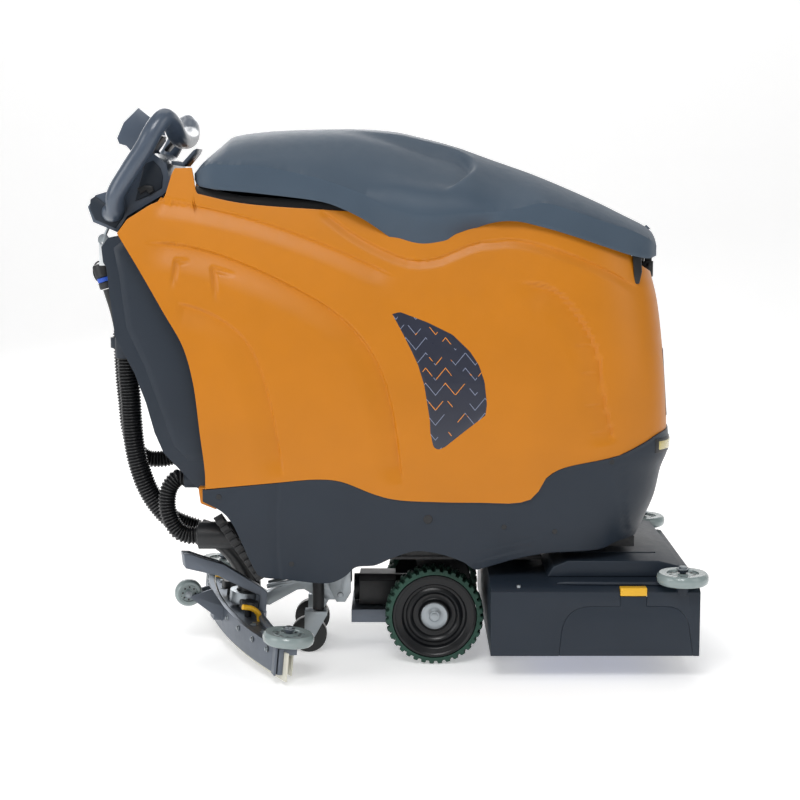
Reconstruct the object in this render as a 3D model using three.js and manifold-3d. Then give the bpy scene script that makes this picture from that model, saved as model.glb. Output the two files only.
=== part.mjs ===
// Walk-behind floor scrubber-dryer, in millimetres.
// +X is forward, +Y is the machine's left side, +Z is up, and the floor is z = 0.
// "right" pieces lie at negative Y and "left" pieces at positive Y.
import * as THREE from 'three';
import { mergeVertices } from 'three/addons/utils/BufferGeometryUtils.js';
import Module from 'manifold-3d';

const wasm = await Module();
wasm.setup();

// ---------------------------------------------------------------- driving dimensions
const MACHINE_OFFSET = new THREE.Vector3(-17, 0, 0); // puts the origin under the middle of the machine
const GAP = 0.4; // clearance between touching parts
const WALL = 8; // thickness of the moulded tank walls
const SIDES = [{ side: 'right', s: -1 }, { side: 'left', s: 1 }];

const WHEEL = { radius: 100, rim: 86, width: 55, x: 95, inner: 125 };
const CASTOR = { radius: 37.5, width: 24, pivotX: -145, trail: 20, y: 75, top: 88 };
const LIFT = { x: -100, z: 115, angle: 5 }; // tow arm hinge, and how far the arm is raised at rest
const SWING = { x: -295, angle: 17.5 }; // squeegee swivel, and how far the squeegee is turned at rest
const SQUEEGEE = { half: 352, sag: 48, tipX: -5, bandBottom: 12, bandTop: 64 };
const BUMPER = { radius: 51, bore: 6.6, thickness: 22 };
const DECK = { rear: 203, front: 613, half: 295, bottom: 50, shoulder: 178, top: 193, wall: 6 };
const BRUSH = { radius: 60, core: 22, z: 110, half: 276, xs: [337, 470] };
const DECK_ROLLER = { x: 578, y: 290, z: 206 };
const TAIL_ROLLER = { x: 10, y: 313, z: 79.5 }; // on the squeegee, square to the machine
const BRUSH_MOTOR_X = 250;
const LIFT_ROD_X = 430; // the rod that raises the brush deck
const VACUUM_X = 370;
const HINGE = { x: 532, z: 806 }; // lid hinge at the nose of the machine
const GRIP_RADIUS = 19; // the handlebar's tube

const COLOUR = {
  orange: 0xd98a2b, slate: 0x39414d, lid: 0x56616f, grip: 0x4c5560, black: 0x17191c,
  zinc: 0xaab4b8, aluminium: 0xb4b9bd, rubber: 0x1f2a28, clearTyre: 0x9fb0ad, yellow: 0xe3b43a,
  blade: 0xcdc9b4, steel: 0x8d9296, brush: 0x2f55a0,
};

// ---------------------------------------------------------------- solids
function solid(geometry) {
  const plain = geometry.clone();
  for (const name of Object.keys(plain.attributes)) {
    if (name !== 'position') plain.deleteAttribute(name);
  }
  const merged = mergeVertices(plain, 1e-4);
  return new wasm.Manifold(new wasm.Mesh({
    numProp: 3,
    vertProperties: new Float32Array(merged.attributes.position.array),
    triVerts: new Uint32Array(merged.index.array),
  }));
}

function geometryOf(manifold) {
  const mesh = manifold.getMesh();
  const geometry = new THREE.BufferGeometry();
  geometry.setAttribute('position', new THREE.BufferAttribute(new Float32Array(mesh.vertProperties), 3));
  geometry.setIndex(new THREE.BufferAttribute(new Uint32Array(mesh.triVerts), 1));
  return geometry;
}

const join = (first, ...others) => others.reduce((sum, next) => sum.add(next), first);
const cut = (first, ...others) => others.reduce((sum, next) => sum.subtract(next), first);
const common = (first, ...others) => others.reduce((sum, next) => sum.intersect(next), first);

// The y limits, low then high, of a piece on side s that lies between two distances from the middle.
const across = (s, a, b) => [s * a, s * b].sort((low, high) => low - high);

function part(parent, name, shape, colour, roughness = 0.5, metalness = 0) {
  const material = new THREE.MeshStandardMaterial({ color: colour, roughness, metalness });
  const mesh = new THREE.Mesh(geometryOf(shape), material);
  mesh.name = name;
  parent.add(mesh);
  return mesh;
}

function outline(points) {
  return new THREE.Shape(points.map(([a, b]) => new THREE.Vector2(a, b)));
}

// A flat outline pushed along one axis; the outline's own two axes are in the function's name.
function plateXY(points, z0, z1) {
  const shape = points instanceof THREE.Shape ? points : outline(points);
  const options = { depth: z1 - z0, bevelEnabled: false, curveSegments: 8 };
  return solid(new THREE.ExtrudeGeometry(shape, options).translate(0, 0, z0));
}

function plateXZ(points, y0, y1) {
  const shape = points instanceof THREE.Shape ? points : outline(points);
  const options = { depth: y1 - y0, bevelEnabled: false, curveSegments: 8 };
  return solid(new THREE.ExtrudeGeometry(shape, options).rotateX(Math.PI / 2).translate(0, y1, 0));
}

function plateYZ(points, x0, x1) {
  const options = { depth: x1 - x0, bevelEnabled: false };
  const turned = new THREE.ExtrudeGeometry(outline(points), options);
  const cyclic = new THREE.Matrix4().set(0, 0, 1, x0, 1, 0, 0, 0, 0, 1, 0, 0, 0, 0, 0, 1);
  return solid(turned.applyMatrix4(cyclic));
}

function box(x0, x1, y0, y1, z0, z1) {
  const geometry = new THREE.BoxGeometry(x1 - x0, y1 - y0, z1 - z0);
  return solid(geometry.translate((x0 + x1) / 2, (y0 + y1) / 2, (z0 + z1) / 2));
}

function rodX(radius, y, z, x0, x1, sides = 20) {
  const geometry = new THREE.CylinderGeometry(radius, radius, x1 - x0, sides).rotateZ(Math.PI / 2);
  return solid(geometry.translate((x0 + x1) / 2, y, z));
}

function rodY(radius, x, z, y0, y1, sides = 20) {
  const geometry = new THREE.CylinderGeometry(radius, radius, y1 - y0, sides);
  return solid(geometry.translate(x, (y0 + y1) / 2, z));
}

function rodZ(radius, x, y, z0, z1, sides = 20) {
  const geometry = new THREE.CylinderGeometry(radius, radius, z1 - z0, sides).rotateX(Math.PI / 2);
  return solid(geometry.translate(x, y, (z0 + z1) / 2));
}

// A cylinder from one point towards another.
function rodTo(radius, from, to, sides = 16) {
  const start = new THREE.Vector3(...from);
  const along = new THREE.Vector3(...to).sub(start);
  const geometry = new THREE.CylinderGeometry(radius, radius, along.length(), sides);
  const up = new THREE.Vector3(0, 1, 0);
  const turn = new THREE.Quaternion().setFromUnitVectors(up, along.clone().normalize());
  geometry.applyQuaternion(turn).translate(...start.add(along.multiplyScalar(0.5)).toArray());
  return solid(geometry);
}

// A round tube along a smooth curve, solid or with a bore.
function tubeAlong(points, radius, steps, sides = 10, bore = 0) {
  const curve = new THREE.CatmullRomCurve3(points.map((p) => new THREE.Vector3(...p)), false, 'centripetal');
  const section = new THREE.Shape().absarc(0, 0, radius, 0, 2 * Math.PI);
  if (bore > 0) section.holes.push(new THREE.Path().absarc(0, 0, bore, 0, 2 * Math.PI, true));
  const options = { steps, extrudePath: curve, bevelEnabled: false, curveSegments: sides / 2 };
  return solid(new THREE.ExtrudeGeometry(section, options));
}

// A closed skin through rings that all have the same number of points.
function loft(rings) {
  const count = rings[0].length;
  const positions = rings.flat(2);
  const index = [];
  for (let r = 0; r + 1 < rings.length; r += 1) {
    for (let i = 0; i < count; i += 1) {
      const a = r * count + i;
      const b = r * count + ((i + 1) % count);
      index.push(a, b, a + count, b, b + count, a + count);
    }
  }
  const last = (rings.length - 1) * count;
  for (let i = 1; i + 1 < count; i += 1) {
    index.push(0, i + 1, i, last, last + i, last + i + 1);
  }
  const geometry = new THREE.BufferGeometry();
  geometry.setAttribute('position', new THREE.BufferAttribute(new Float32Array(positions), 3));
  geometry.setIndex(index);
  return solid(geometry);
}

// ---------------------------------------------------------------- moulded body
// Plan outline at one height: straight sides from the open rear to CHEEK_X, then a full rounded nose.
const CHEEK_X = 180;
const OPEN_REAR = -680;
const NOSE_STEPS = 14;

function planRing({ z, half, front }, grow) {
  const ring = [[OPEN_REAR, -half - grow, z]];
  for (let i = 0; i <= NOSE_STEPS; i += 1) {
    const t = -Math.PI / 2 + (Math.PI * i) / NOSE_STEPS;
    const x = CHEEK_X + (front + grow - CHEEK_X) * Math.sqrt(Math.abs(Math.cos(t)));
    const y = (half + grow) * Math.sign(Math.sin(t)) * Math.sqrt(Math.abs(Math.sin(t)));
    ring.push([x, y, z]);
  }
  ring.push([OPEN_REAR, half + grow, z]);
  return ring;
}

function bodySkin(levels, outerGrow, innerGrow) {
  const outer = loft(levels.map((level) => planRing(level, outerGrow)));
  const stretched = levels.map((level) => ({ ...level }));
  stretched[0].z -= 20;
  stretched.at(-1).z += 20;
  const hollow = loft(stretched.map((level) => planRing(level, innerGrow)));
  const rear = box(OPEN_REAR - 10, OPEN_REAR + 10, -400, 400, 0, 1200);
  return cut(outer, hollow, rear);
}

const TANK_LEVELS = [
  { z: 330, half: 266, front: 566 }, { z: 470, half: 270, front: 570 }, { z: 560, half: 270, front: 566 },
  { z: 650, half: 267, front: 558 }, { z: 740, half: 261, front: 546 }, { z: 800, half: 255, front: 531 },
  { z: 880, half: 246, front: 512 }, { z: 1010, half: 229, front: 470 },
];
const COWL_LEVELS = [
  { z: 170, half: 225, front: 470 }, { z: 210, half: 236, front: 495 }, { z: 262, half: 248, front: 513 },
  { z: 302, half: 256, front: 531 }, { z: 345, half: 262, front: 548 }, { z: 400, half: 268, front: 560 },
  { z: 440, half: 272, front: 574 }, { z: 500, half: 272, front: 571 },
];
// The line where the tank meets the cowl, from the rear to the nose.
const SPLIT_LINE = [
  [-352, 377], [-229, 389], [-135, 397], [-92, 393], [-24, 367], [15, 357], [182, 351], [260, 351],
  [289, 363], [308, 397], [337, 417], [454, 442], [512, 466], [545, 480], [640, 480],
];
const TANK_RIM = [
  [640, 760], [560, 780], [520, 800], [500, 812], [462, 843], [354, 886], [238, 905], [176, 901],
  [-91, 919], [-284, 934], [-371, 953],
];
const TANK_REAR = [
  [-378, 985], [-380, 1003], [-403, 1001], [-417, 982], [-413, 965], [-417, 955], [-459, 930],
  [-502, 905], [-522, 876], [-481, 808], [-434, 726], [-396, 658], [-377, 589], [-365, 490], [-356, 410],
];
const COWL_BOTTOM = [
  [-362, 352], [-324, 330], [-305, 306], [-267, 216], [-255, 194], [-202, 188], [-113, 180], [-83, 196],
  [-64, 216], [-24, 218], [9, 235], [55, 250], [104, 243], [163, 223], [177, 208], [222, 224],
  [310, 244], [428, 250], [440, 262], [640, 262],
];

const machine = new THREE.Group();
machine.position.copy(MACHINE_OFFSET);

function buildBody() {
  const tankSide = plateXZ([...SPLIT_LINE, ...TANK_RIM, ...TANK_REAR], -400, 400);
  const hingeNotch = box(500, 560, -84, 84, 772, 900);
  const tank = cut(common(bodySkin(TANK_LEVELS, 0, -WALL), tankSide), hingeNotch);
  part(machine, 'solution_tank', tank, COLOUR.orange, 0.45);

  const split = SPLIT_LINE.map(([x, z]) => [x, z - GAP]).reverse();
  const cowlSide = plateXZ([...COWL_BOTTOM, ...split], -400, 400);
  part(machine, 'base_cowl', common(bodySkin(COWL_LEVELS, 0, -6), cowlSide), COLOUR.slate, 0.55);
}

// Dirty-water tank between the cheeks of the body, open at the top, with its two hose stubs.
function buildRecoveryTank() {
  const outer = plateXZ([
    [-378, 368], [-340, 368], [-200, 470], [235, 470], [235, 880], [-380, 938], [-425, 938], [-468, 919],
    [-512, 890], [-530, 866], [-546, 866], [-560, 848], [-557, 818], [-551, 808], [-537, 672],
    [-500, 600], [-478, 540], [-462, 480], [-445, 440], [-410, 402],
  ], -205, 205);
  const hollow = plateXZ([
    [-374, 378], [-344, 378], [-204, 480], [225, 480], [225, 980], [-372, 980], [-372, 926], [-423, 926],
    [-462, 908], [-504, 880], [-523, 854], [-541, 854], [-550, 845], [-547, 818], [-541, 806],
    [-528, 675], [-490, 604], [-468, 543], [-452, 483], [-436, 445], [-403, 408],
  ], -197, 197);
  const suctionStub = rodZ(25, -540, -30, 612, 668);
  const drainStub = rodX(20, 20, 396, -435, -398);
  const tankLine = rodX(20, -150, 380, -410, -380);
  const collar = cut(join(rodZ(23.5, -559, 20, 628, 650, 24), box(-545, -514, 12, 28, 632, 646)),
    rodZ(19.2, -559, 20, 600, 680, 24));
  const tank = join(cut(outer, hollow), suctionStub, drainStub, tankLine, collar);
  part(machine, 'recovery_tank', tank, COLOUR.slate, 0.45);
}

// Black rim that carries the lid, standing up between the tank's cheeks.
function buildSeal() {
  const reach = [-371, 470];
  const rim = [[reach[1], 838], ...TANK_RIM.filter(([x]) => x < reach[1])];
  const under = rim.map(([x, z]) => [x, z - 12]);
  const over = rim.map(([x, z]) => [x, z + 14]).reverse();
  const band = plateXZ([...under, ...over], -300, 300);
  const loop = common(bodySkin(TANK_LEVELS, -WALL - 2, -WALL - 13), band);
  const rearBar = box(reach[0], reach[0] + 11, -221, 221, 942, 966);
  const frontBar = box(reach[1] - 11, reach[1], -190, 190, 828, 850);
  part(machine, 'tank_seal', join(loop, rearBar, frontBar), COLOUR.black, 0.8);
}

// ---------------------------------------------------------------- lid
// Stations from the rear to the nose: top at the middle, crease, lower edge and half width.
const LID_STATIONS = [
  { x: -374, top: 1004, crease: 990, low: 978, half: 215 },
  { x: -366, top: 1017, crease: 1001, low: 968, half: 234 },
  { x: -342, top: 1038, crease: 1008, low: 962, half: 250 },
  { x: -314, top: 1063, crease: 1007, low: 960, half: 255 },
  { x: -244, top: 1074, crease: 1004, low: 952, half: 258 },
  { x: -123, top: 1080, crease: 979, low: 936, half: 263 },
  { x: -54, top: 1080, crease: 955, low: 908, half: 268 },
  { x: 13, top: 1075, crease: 926, low: 871, half: 272 },
  { x: 65, top: 1064, crease: 914, low: 858, half: 275 },
  { x: 140, top: 1044, crease: 916, low: 874, half: 273 },
  { x: 207, top: 1020, crease: 918, low: 897, half: 267 },
  { x: 250, top: 1004, crease: 924, low: 899, half: 263 },
  { x: 300, top: 985, crease: 934, low: 888, half: 260 },
  { x: 355, top: 963, crease: 920, low: 872, half: 257 },
  { x: 424, top: 932, crease: 897, low: 849, half: 248 },
  { x: 477, top: 907, crease: 880, low: 832, half: 228 },
  { x: 515, top: 884, crease: 862, low: 825, half: 194 },
  { x: 535, top: 862, crease: 848, low: 828, half: 150 },
];
// Fraction of the half width, and fraction of the drop from the top to the crease.
const LID_CROWN = [[0, 0], [0.3, 0.05], [0.55, 0.17], [0.76, 0.4], [0.92, 0.78], [0.985, 1]];

function lidRing(station, inset, depth) {
  const top = station.top - inset;
  const drop = Math.max(top - (station.crease - inset), 2);
  const half = station.half - inset;
  const right = LID_CROWN.map(([w, d]) => [station.x, -w * half, top - d * drop]);
  right.push([station.x, -half, station.low - depth]);
  const left = right.slice(1).map(([x, y, z]) => [x, -y, z]).reverse();
  return [...right, ...left];
}

function buildLid() {
  const outer = loft(LID_STATIONS.map((station) => lidRing(station, 0, 0)));
  const inside = LID_STATIONS.slice(1, -1).map((station) => lidRing(station, WALL, 60));
  let lid = cut(outer, loft(inside));
  for (const { s } of SIDES) {
    const y = across(s, 50, 62);
    lid = join(lid, box(HINGE.x - 7, HINGE.x + 7, ...y, HINGE.z - 7, HINGE.z + 30));
  }
  lid = cut(lid, rodY(4.6, HINGE.x, HINGE.z, -90, 90));
  part(machine, 'lid', lid, COLOUR.lid, 0.6);

  const side = [[498, 742], [522, 742], [522, 782], [540, 782], [540, 814], [524, 814], [498, 790]];
  let hinge = join(rodY(4, HINGE.x, HINGE.z, -80, 80), box(498, 510, -74, 74, 742, 754));
  for (const { s } of SIDES) {
    const y = across(s, 64, 74);
    hinge = join(hinge, plateXZ(side, ...y));
  }
  part(machine, 'lid_hinge', hinge, COLOUR.black, 0.5);
}

// ---------------------------------------------------------------- chassis and drive
function buildChassis() {
  const plate = new THREE.Shape();
  plate.moveTo(-290, -160).lineTo(312, -160).lineTo(312, 160).lineTo(-290, 160);
  plate.holes.push(new THREE.Path().absarc(BRUSH_MOTOR_X, 0, 56, 0, 2 * Math.PI, true));
  const railSide = [[-286, 219], [306, 219], [330, 240], [500, 240], [500, 262], [-286, 262]];
  let frame = join(plateXY(plate, 214, 220), box(395, 500, -156, 156, 244, 250));
  for (const { s } of SIDES) {
    const y = across(s, 96, 106);
    const axleDrop = plateXZ([
      [WHEEL.x - 40, 216], [WHEEL.x - 24, 140], [WHEEL.x + 24, 140], [WHEEL.x + 40, 216],
    ], ...y);
    const castorPost = rodZ(12, CASTOR.pivotX, s * CASTOR.y, 90, 216);
    const castorPin = rodZ(6, CASTOR.pivotX, s * CASTOR.y, 79, 92);
    const rail = across(s, 150, 156);
    frame = join(frame, axleDrop, castorPost, castorPin, plateXZ(railSide, ...rail));
  }
  const elbowNotch = box(-300, -274, -36, 18, 200, 230);
  frame = cut(frame, rodZ(11, LIFT_ROD_X, 0, 230, 260), elbowNotch);
  part(machine, 'chassis_frame', frame, COLOUR.black, 0.5, 0.4);

  let hitch = join(box(-122, -78, -58, 58, 205, 214 - GAP), rodY(6, LIFT.x, LIFT.z, -60, 60));
  for (const { s } of SIDES) {
    const y = across(s, 52, 58);
    const cheek = [[-122, 210], [-122, 130], [-108, 100], [-90, 100], [-78, 120], [-78, 210]];
    hitch = join(hitch, plateXZ(cheek, ...y));
  }
  part(machine, 'hitch_bracket', hitch, COLOUR.zinc, 0.4, 0.9);

  let battery = box(-190, 150, -146, 146, 220 + GAP, 430);
  for (const { s } of SIDES) {
    battery = join(battery, rodZ(9, -150, s * 60, 428, 442, 12), rodZ(9, 110, s * 60, 428, 442, 12));
  }
  part(machine, 'battery_pack', battery, COLOUR.black, 0.5);

  const fan = rodZ(68, VACUUM_X, 0, 520, 610, 24);
  const vacuum = join(fan, rodZ(52, VACUUM_X, 0, 608, 650, 24), rodZ(80, VACUUM_X, 0, 512, 522, 24));
  part(machine, 'vacuum_motor', vacuum, COLOUR.black, 0.4);
  const pump = join(rodX(30, 40, 256, -280, -215), box(-270, -228, 20, 60, 220 + GAP, 240));
  part(machine, 'solution_pump', pump, COLOUR.black, 0.5);
  const filter = join(rodX(28, -150, 262, -384, -302), rodX(20, -150, 262, -388, -380));
  part(machine, 'solution_filter', filter, COLOUR.black, 0.4);

  const actuator = cut(
    join(rodZ(22, LIFT_ROD_X, 0, 250 + GAP, 420), box(LIFT_ROD_X - 26, LIFT_ROD_X + 26, -24, 24, 380, 420)),
    rodZ(11, LIFT_ROD_X, 0, 240, 412),
  );
  part(machine, 'deck_actuator', actuator, COLOUR.black, 0.5);
}

function buildDrive() {
  const { x } = WHEEL;
  let axleCase = join(rodY(32, x, WHEEL.radius, -118, 118, 24), box(x - 50, x + 38, -45, 45, 64, 138));
  for (const { s } of SIDES) {
    const y = across(s, 86, 120);
    axleCase = cut(axleCase, rodY(10.6, x, WHEEL.radius, ...y));
  }
  axleCase = join(axleCase, box(-76, x - 40, -88, 88, 64, 92 - GAP));
  part(machine, 'transaxle', axleCase, COLOUR.steel, 0.5, 0.8);
  const motor = join(rodX(28, 0, 120, -72, x - 50 - GAP, 20), box(-60, 16, -58, 58, 95, 146));
  part(machine, 'drive_motor', motor, COLOUR.black, 0.45);

  for (const { side, s } of SIDES) {
    const outer = WHEEL.inner + WHEEL.width;
    const near = across(s, WHEEL.inner, outer);
    const stub = across(s, 88, WHEEL.inner + 8);
    const recess = across(s, outer - 9, 200);
    const cap = across(s, outer - 10, outer - 2);
    const tyre = cut(rodY(WHEEL.radius, x, WHEEL.radius, ...near, 40),
      rodY(WHEEL.rim, x, WHEEL.radius, -300, 300, 40));
    part(machine, `drive_tyre_${side}`, tyre, COLOUR.rubber, 0.85);
    const disc = rodY(WHEEL.rim - GAP, x, WHEEL.radius, ...near, 40);
    const dished = cut(disc, rodY(62, x, WHEEL.radius, ...recess, 32));
    const hub = join(dished, rodY(28, x, WHEEL.radius, ...cap), rodY(10, x, WHEEL.radius, ...stub));
    part(machine, `drive_hub_${side}`, hub, COLOUR.black, 0.5);
  }
}

function buildCastors() {
  const axleX = CASTOR.pivotX - CASTOR.trail;
  for (const { side, s } of SIDES) {
    const y = s * CASTOR.y;
    const arm = [[axleX - 9, 28], [axleX + 9, 28], [axleX + 38, 80], [axleX + 38, 88], [axleX - 8, 88]];
    let fork = join(box(axleX - 8, axleX + 38, y - 17, y + 17, 79, CASTOR.top),
      rodY(4, axleX, CASTOR.radius, y - 17, y + 17, 12));
    for (const edge of [-17, 13.5]) fork = join(fork, plateXZ(arm, y + edge, y + edge + 3.5));
    fork = cut(fork, rodZ(6.5, CASTOR.pivotX, y, 70, 100));
    part(machine, `castor_fork_${side}`, fork, COLOUR.zinc, 0.4, 0.9);
    const wheel = cut(rodY(CASTOR.radius, axleX, CASTOR.radius, y - 12, y + 12, 28),
      rodY(4.5, axleX, CASTOR.radius, y - 20, y + 20, 12));
    part(machine, `castor_wheel_${side}`, wheel, COLOUR.rubber, 0.8);
  }
}

// ---------------------------------------------------------------- squeegee
// The tow arm is drawn lowered, about its hinge, and its group is then raised.
const lift = new THREE.Group();
lift.position.set(LIFT.x, 0, LIFT.z);
lift.rotation.y = THREE.MathUtils.degToRad(LIFT.angle);
machine.add(lift);
const arm = new THREE.Group();
arm.position.set(-LIFT.x, 0, -LIFT.z);
lift.add(arm);
// The squeegee head is drawn square to the machine, about its swivel, and its group is then turned.
const head = new THREE.Group();
head.position.set(SWING.x, 0, 0);
head.rotation.z = THREE.MathUtils.degToRad(SWING.angle);
arm.add(head);

function buildTowArm() {
  const spine = [
    [-150, 128], [-197, 128], [-257, 95], [-330, 95], [-330, 70], [-248, 70], [-192, 108], [-150, 116],
  ];
  let bar = join(
    box(-190, -112, -46, 46, 122, 128),
    plateXZ(spine, -15, 15),
    rodY(12, LIFT.x, LIFT.z, -46, 46),
    rodZ(40, SWING.x, 0, 70, 95, 28),
  );
  const cheek = [[-190, 142], [-92, 140], [-84, 118], [-94, 103], [-124, 100], [-152, 106], [-190, 124]];
  for (const edge of [-46, 41]) bar = join(bar, plateXZ(cheek, edge, edge + 5));
  bar = cut(bar, rodY(6.4, LIFT.x, LIFT.z, -80, 80), rodZ(27, SWING.x, 0, 60, 130, 28));
  part(arm, 'tow_arm', bar, COLOUR.zinc, 0.4, 0.9);

  const bend = [
    [SWING.x, 0, 61], [SWING.x, 0, 82], [SWING.x, 0, 102], [-304, 0, 138], [-333, 0, 178], [-370, 0, 204],
    [-410, 0, 216],
  ];
  part(arm, 'suction_elbow', tubeAlong(bend, 25, 13, 12, 20), COLOUR.black, 0.6);
}

// The squeegee's plan arc: its x at a given y.
function arcX(y) {
  const { half, sag, tipX } = SQUEEGEE;
  const radius = (half * half + sag * sag) / (2 * sag);
  return tipX - sag + radius - Math.sqrt(radius * radius - y * y);
}

function arcStrip(behind, ahead, half, z0, z1, steps = 20) {
  const ys = Array.from({ length: steps + 1 }, (_, i) => -half + (2 * half * i) / steps);
  const rear = ys.map((y) => [arcX(y) + behind, y]);
  const front = ys.map((y) => [arcX(y) + ahead, y]).reverse();
  return plateXY([...front, ...rear], z0, z1);
}

function starKnob(x, y, z0, z1) {
  const shape = new THREE.Shape();
  for (let i = 0; i < 40; i += 1) {
    const t = (2 * Math.PI * i) / 40;
    const r = 18 + 2.5 * Math.cos(5 * t);
    if (i === 0) shape.moveTo(x + r, y);
    else shape.lineTo(x + r * Math.cos(t), y + r * Math.sin(t));
  }
  return plateXY(shape, z0, z1);
}

function bumperWheel(x, y, z) {
  const { radius, bore, thickness } = BUMPER;
  const h = thickness / 2;
  const profile = [
    [bore, -h + 3], [26, -h + 3], [34, -h], [radius - 7, -h], [radius, -3], [radius, 3], [radius - 7, h],
    [34, h], [26, h - 3], [bore, h - 3], [bore, -h + 3],
  ].map(([r, a]) => new THREE.Vector2(r, a));
  return solid(new THREE.LatheGeometry(profile, 24).rotateX(Math.PI / 2).translate(x, y, z));
}

function buildSqueegee() {
  const { half, bandBottom, bandTop } = SQUEEGEE;
  part(head, 'rear_blade', arcStrip(5 + GAP, 9, half, 1, 58), COLOUR.blade, 0.5);
  part(head, 'front_blade', arcStrip(36, 40, half - 40, 1, 46), COLOUR.blade, 0.5);

  const wing = (s) => [
    [arcX(0) + 10, 0], [32, 0], [32, s * 40], [8, s * 110], [4, s * 250], [30, s * 300], [26, s * 328],
    [arcX(328) + 10, s * 330], [arcX(300) + 10, s * 300],
    [arcX(200) + 10, s * 200], [arcX(100) + 10, s * 100],
  ];
  let body = join(plateXY(wing(-1).reverse(), 48, 60), plateXY(wing(1), 48, 60));
  for (const { s } of SIDES) {
    const { x, y, z } = TAIL_ROLLER;
    const pin = rodZ(6, x, s * y, 58, 96, 16);
    body = join(body, pin, rodZ(11, x, s * y, 58, z - 12.5, 16), rodZ(11, x, s * y, z + 13.5, 98, 6));
  }
  body = cut(body, rodZ(20, 0, 0, 40, 66, 24));
  part(head, 'squeegee_body', body, COLOUR.aluminium, 0.45, 0.8);

  for (const { side, s } of SIDES) {
    const { x, y, z } = TAIL_ROLLER;
    part(head, `squeegee_roller_${side}`, bumperWheel(x, s * y, z), COLOUR.clearTyre, 0.4);
    const knob = join(starKnob(-20, s * 88, 78, 94), rodZ(7, -20, s * 88, 60 + GAP, 80, 16));
    part(head, `squeegee_knob_${side}`, knob, COLOUR.black, 0.5);
  }

  const handleSide = [
    [-163, 190], [-146, 190], [-125, 183], [-78, 170], [6, 122], [19, 112], [19, 60 + GAP], [3, 60 + GAP],
    [3, 104], [-90, 146], [-157, 160],
  ];
  const slot = plateXY([[-148, -75], [-92, -75], [-86, -68], [-92, -61], [-148, -61], [-152, -68]], 100, 220);
  part(head, 'squeegee_handle', cut(plateXZ(handleSide, -86, -50), slot), COLOUR.aluminium, 0.4, 0.9);

  const wheelX = -130;
  const wheelZ = 88;
  const cheek = [
    [wheelX - 9, wheelZ - 7], [wheelX + 4, wheelZ - 9], [-70, 40], [-56, 30], [-56, 62], [-84, 100],
  ];
  let band = join(arcStrip(-5, 5, half - 12, bandBottom, bandTop), box(-76, -54, -18, 18, 34, 62),
    rodY(4, wheelX, wheelZ, -18, 18, 12));
  for (const edge of [-18, 14]) band = join(band, plateXZ(cheek, edge, edge + 4));
  part(head, 'squeegee_band', band, COLOUR.aluminium, 0.4, 0.9);
  const wheel = cut(rodY(29, wheelX, wheelZ, -11, 11, 28), rodY(4.5, wheelX, wheelZ, -20, 20, 12));
  part(head, 'rear_stop_wheel', wheel, COLOUR.clearTyre, 0.4);
}

// ---------------------------------------------------------------- brush deck
function buildDeck() {
  const { rear, front, half, bottom, shoulder, top, wall } = DECK;
  const section = (inset, floor) => [
    [-half + inset, floor], [half - inset, floor], [half - inset, shoulder - inset * 0.7],
    [half - 12, top - 8 - inset], [235, top - inset], [-235, top - inset], [-half + 12, top - 8 - inset],
    [-half + inset, shoulder - inset * 0.7],
  ];
  const inside = plateYZ(section(wall, bottom - 20), rear + wall, front - wall);
  let housing = cut(plateYZ(section(0, bottom), rear, front), inside);
  const window = (grow, y) => {
    const shape = new THREE.Shape();
    shape.moveTo(337 - grow, bottom - 2 * grow).lineTo(601 + grow, bottom - 2 * grow).lineTo(592 + grow, 108);
    shape.quadraticCurveTo(584 + grow, 150 + grow, 545, 150 + grow);
    shape.lineTo(508 + grow, 150 + grow).lineTo(508 + grow, 170 + grow).lineTo(456 - grow, 170 + grow);
    shape.lineTo(456 - grow, 150 + grow).lineTo(402, 150 + grow);
    shape.quadraticCurveTo(350 - grow, 150 + grow, 342 - grow, 100);
    return plateXZ(shape, ...y);
  };
  for (const { side, s } of SIDES) {
    const skin = across(s, half - wall, half);
    const through = across(s, half - wall - 4, half + 4);
    const latchZone = across(s, half - 20, half + 4);
    const latchBody = across(s, half - 17, half + 2);
    housing = cut(housing, window(GAP, through), box(455, 509, ...latchZone, 168, 190));
    const { x, y, z } = DECK_ROLLER;
    housing = join(housing, rodZ(6, x, s * y, 172, 224, 16), rodZ(12, x, s * (y - 2), 172, z - 12, 16),
      rodZ(11, x, s * y, z + 12, 224, 6));
    part(machine, `side_panel_${side}`, window(0, skin), COLOUR.slate, 0.55);
    part(machine, `panel_latch_${side}`, box(456, 508, ...latchBody, 171, 187), COLOUR.yellow, 0.5);
    part(machine, `deck_roller_${side}`, bumperWheel(x, s * y, z), COLOUR.clearTyre, 0.4);
  }
  housing = join(housing, rodZ(9, LIFT_ROD_X, 0, 190, 330, 16));
  part(machine, 'deck_housing', housing, COLOUR.slate, 0.55);

  const coverSide = [[318, top + GAP], [596, top + GAP], [588, 214], [540, 226], [360, 226], [330, 214]];
  const cover = cut(plateXZ(coverSide, -228, 228), rodZ(12, LIFT_ROD_X, 0, 180, 240));
  part(machine, 'deck_cover', cover, COLOUR.slate, 0.55);

  const can = rodZ(50, BRUSH_MOTOR_X, 0, top + GAP, 330, 24);
  const motor = join(can, rodZ(34, BRUSH_MOTOR_X, 0, 328, 344, 20));
  part(machine, 'brush_motor', motor, COLOUR.black, 0.45);

  ['rear', 'front'].forEach((place, i) => {
    const x = BRUSH.xs[i];
    const bristles = rodY(BRUSH.radius, x, BRUSH.z, -BRUSH.half, BRUSH.half, 28);
    const brush = cut(bristles, rodY(BRUSH.core, x, BRUSH.z, -300, 300, 16));
    part(machine, `brush_${place}`, brush, COLOUR.brush, 0.9);
  });
}

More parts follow.
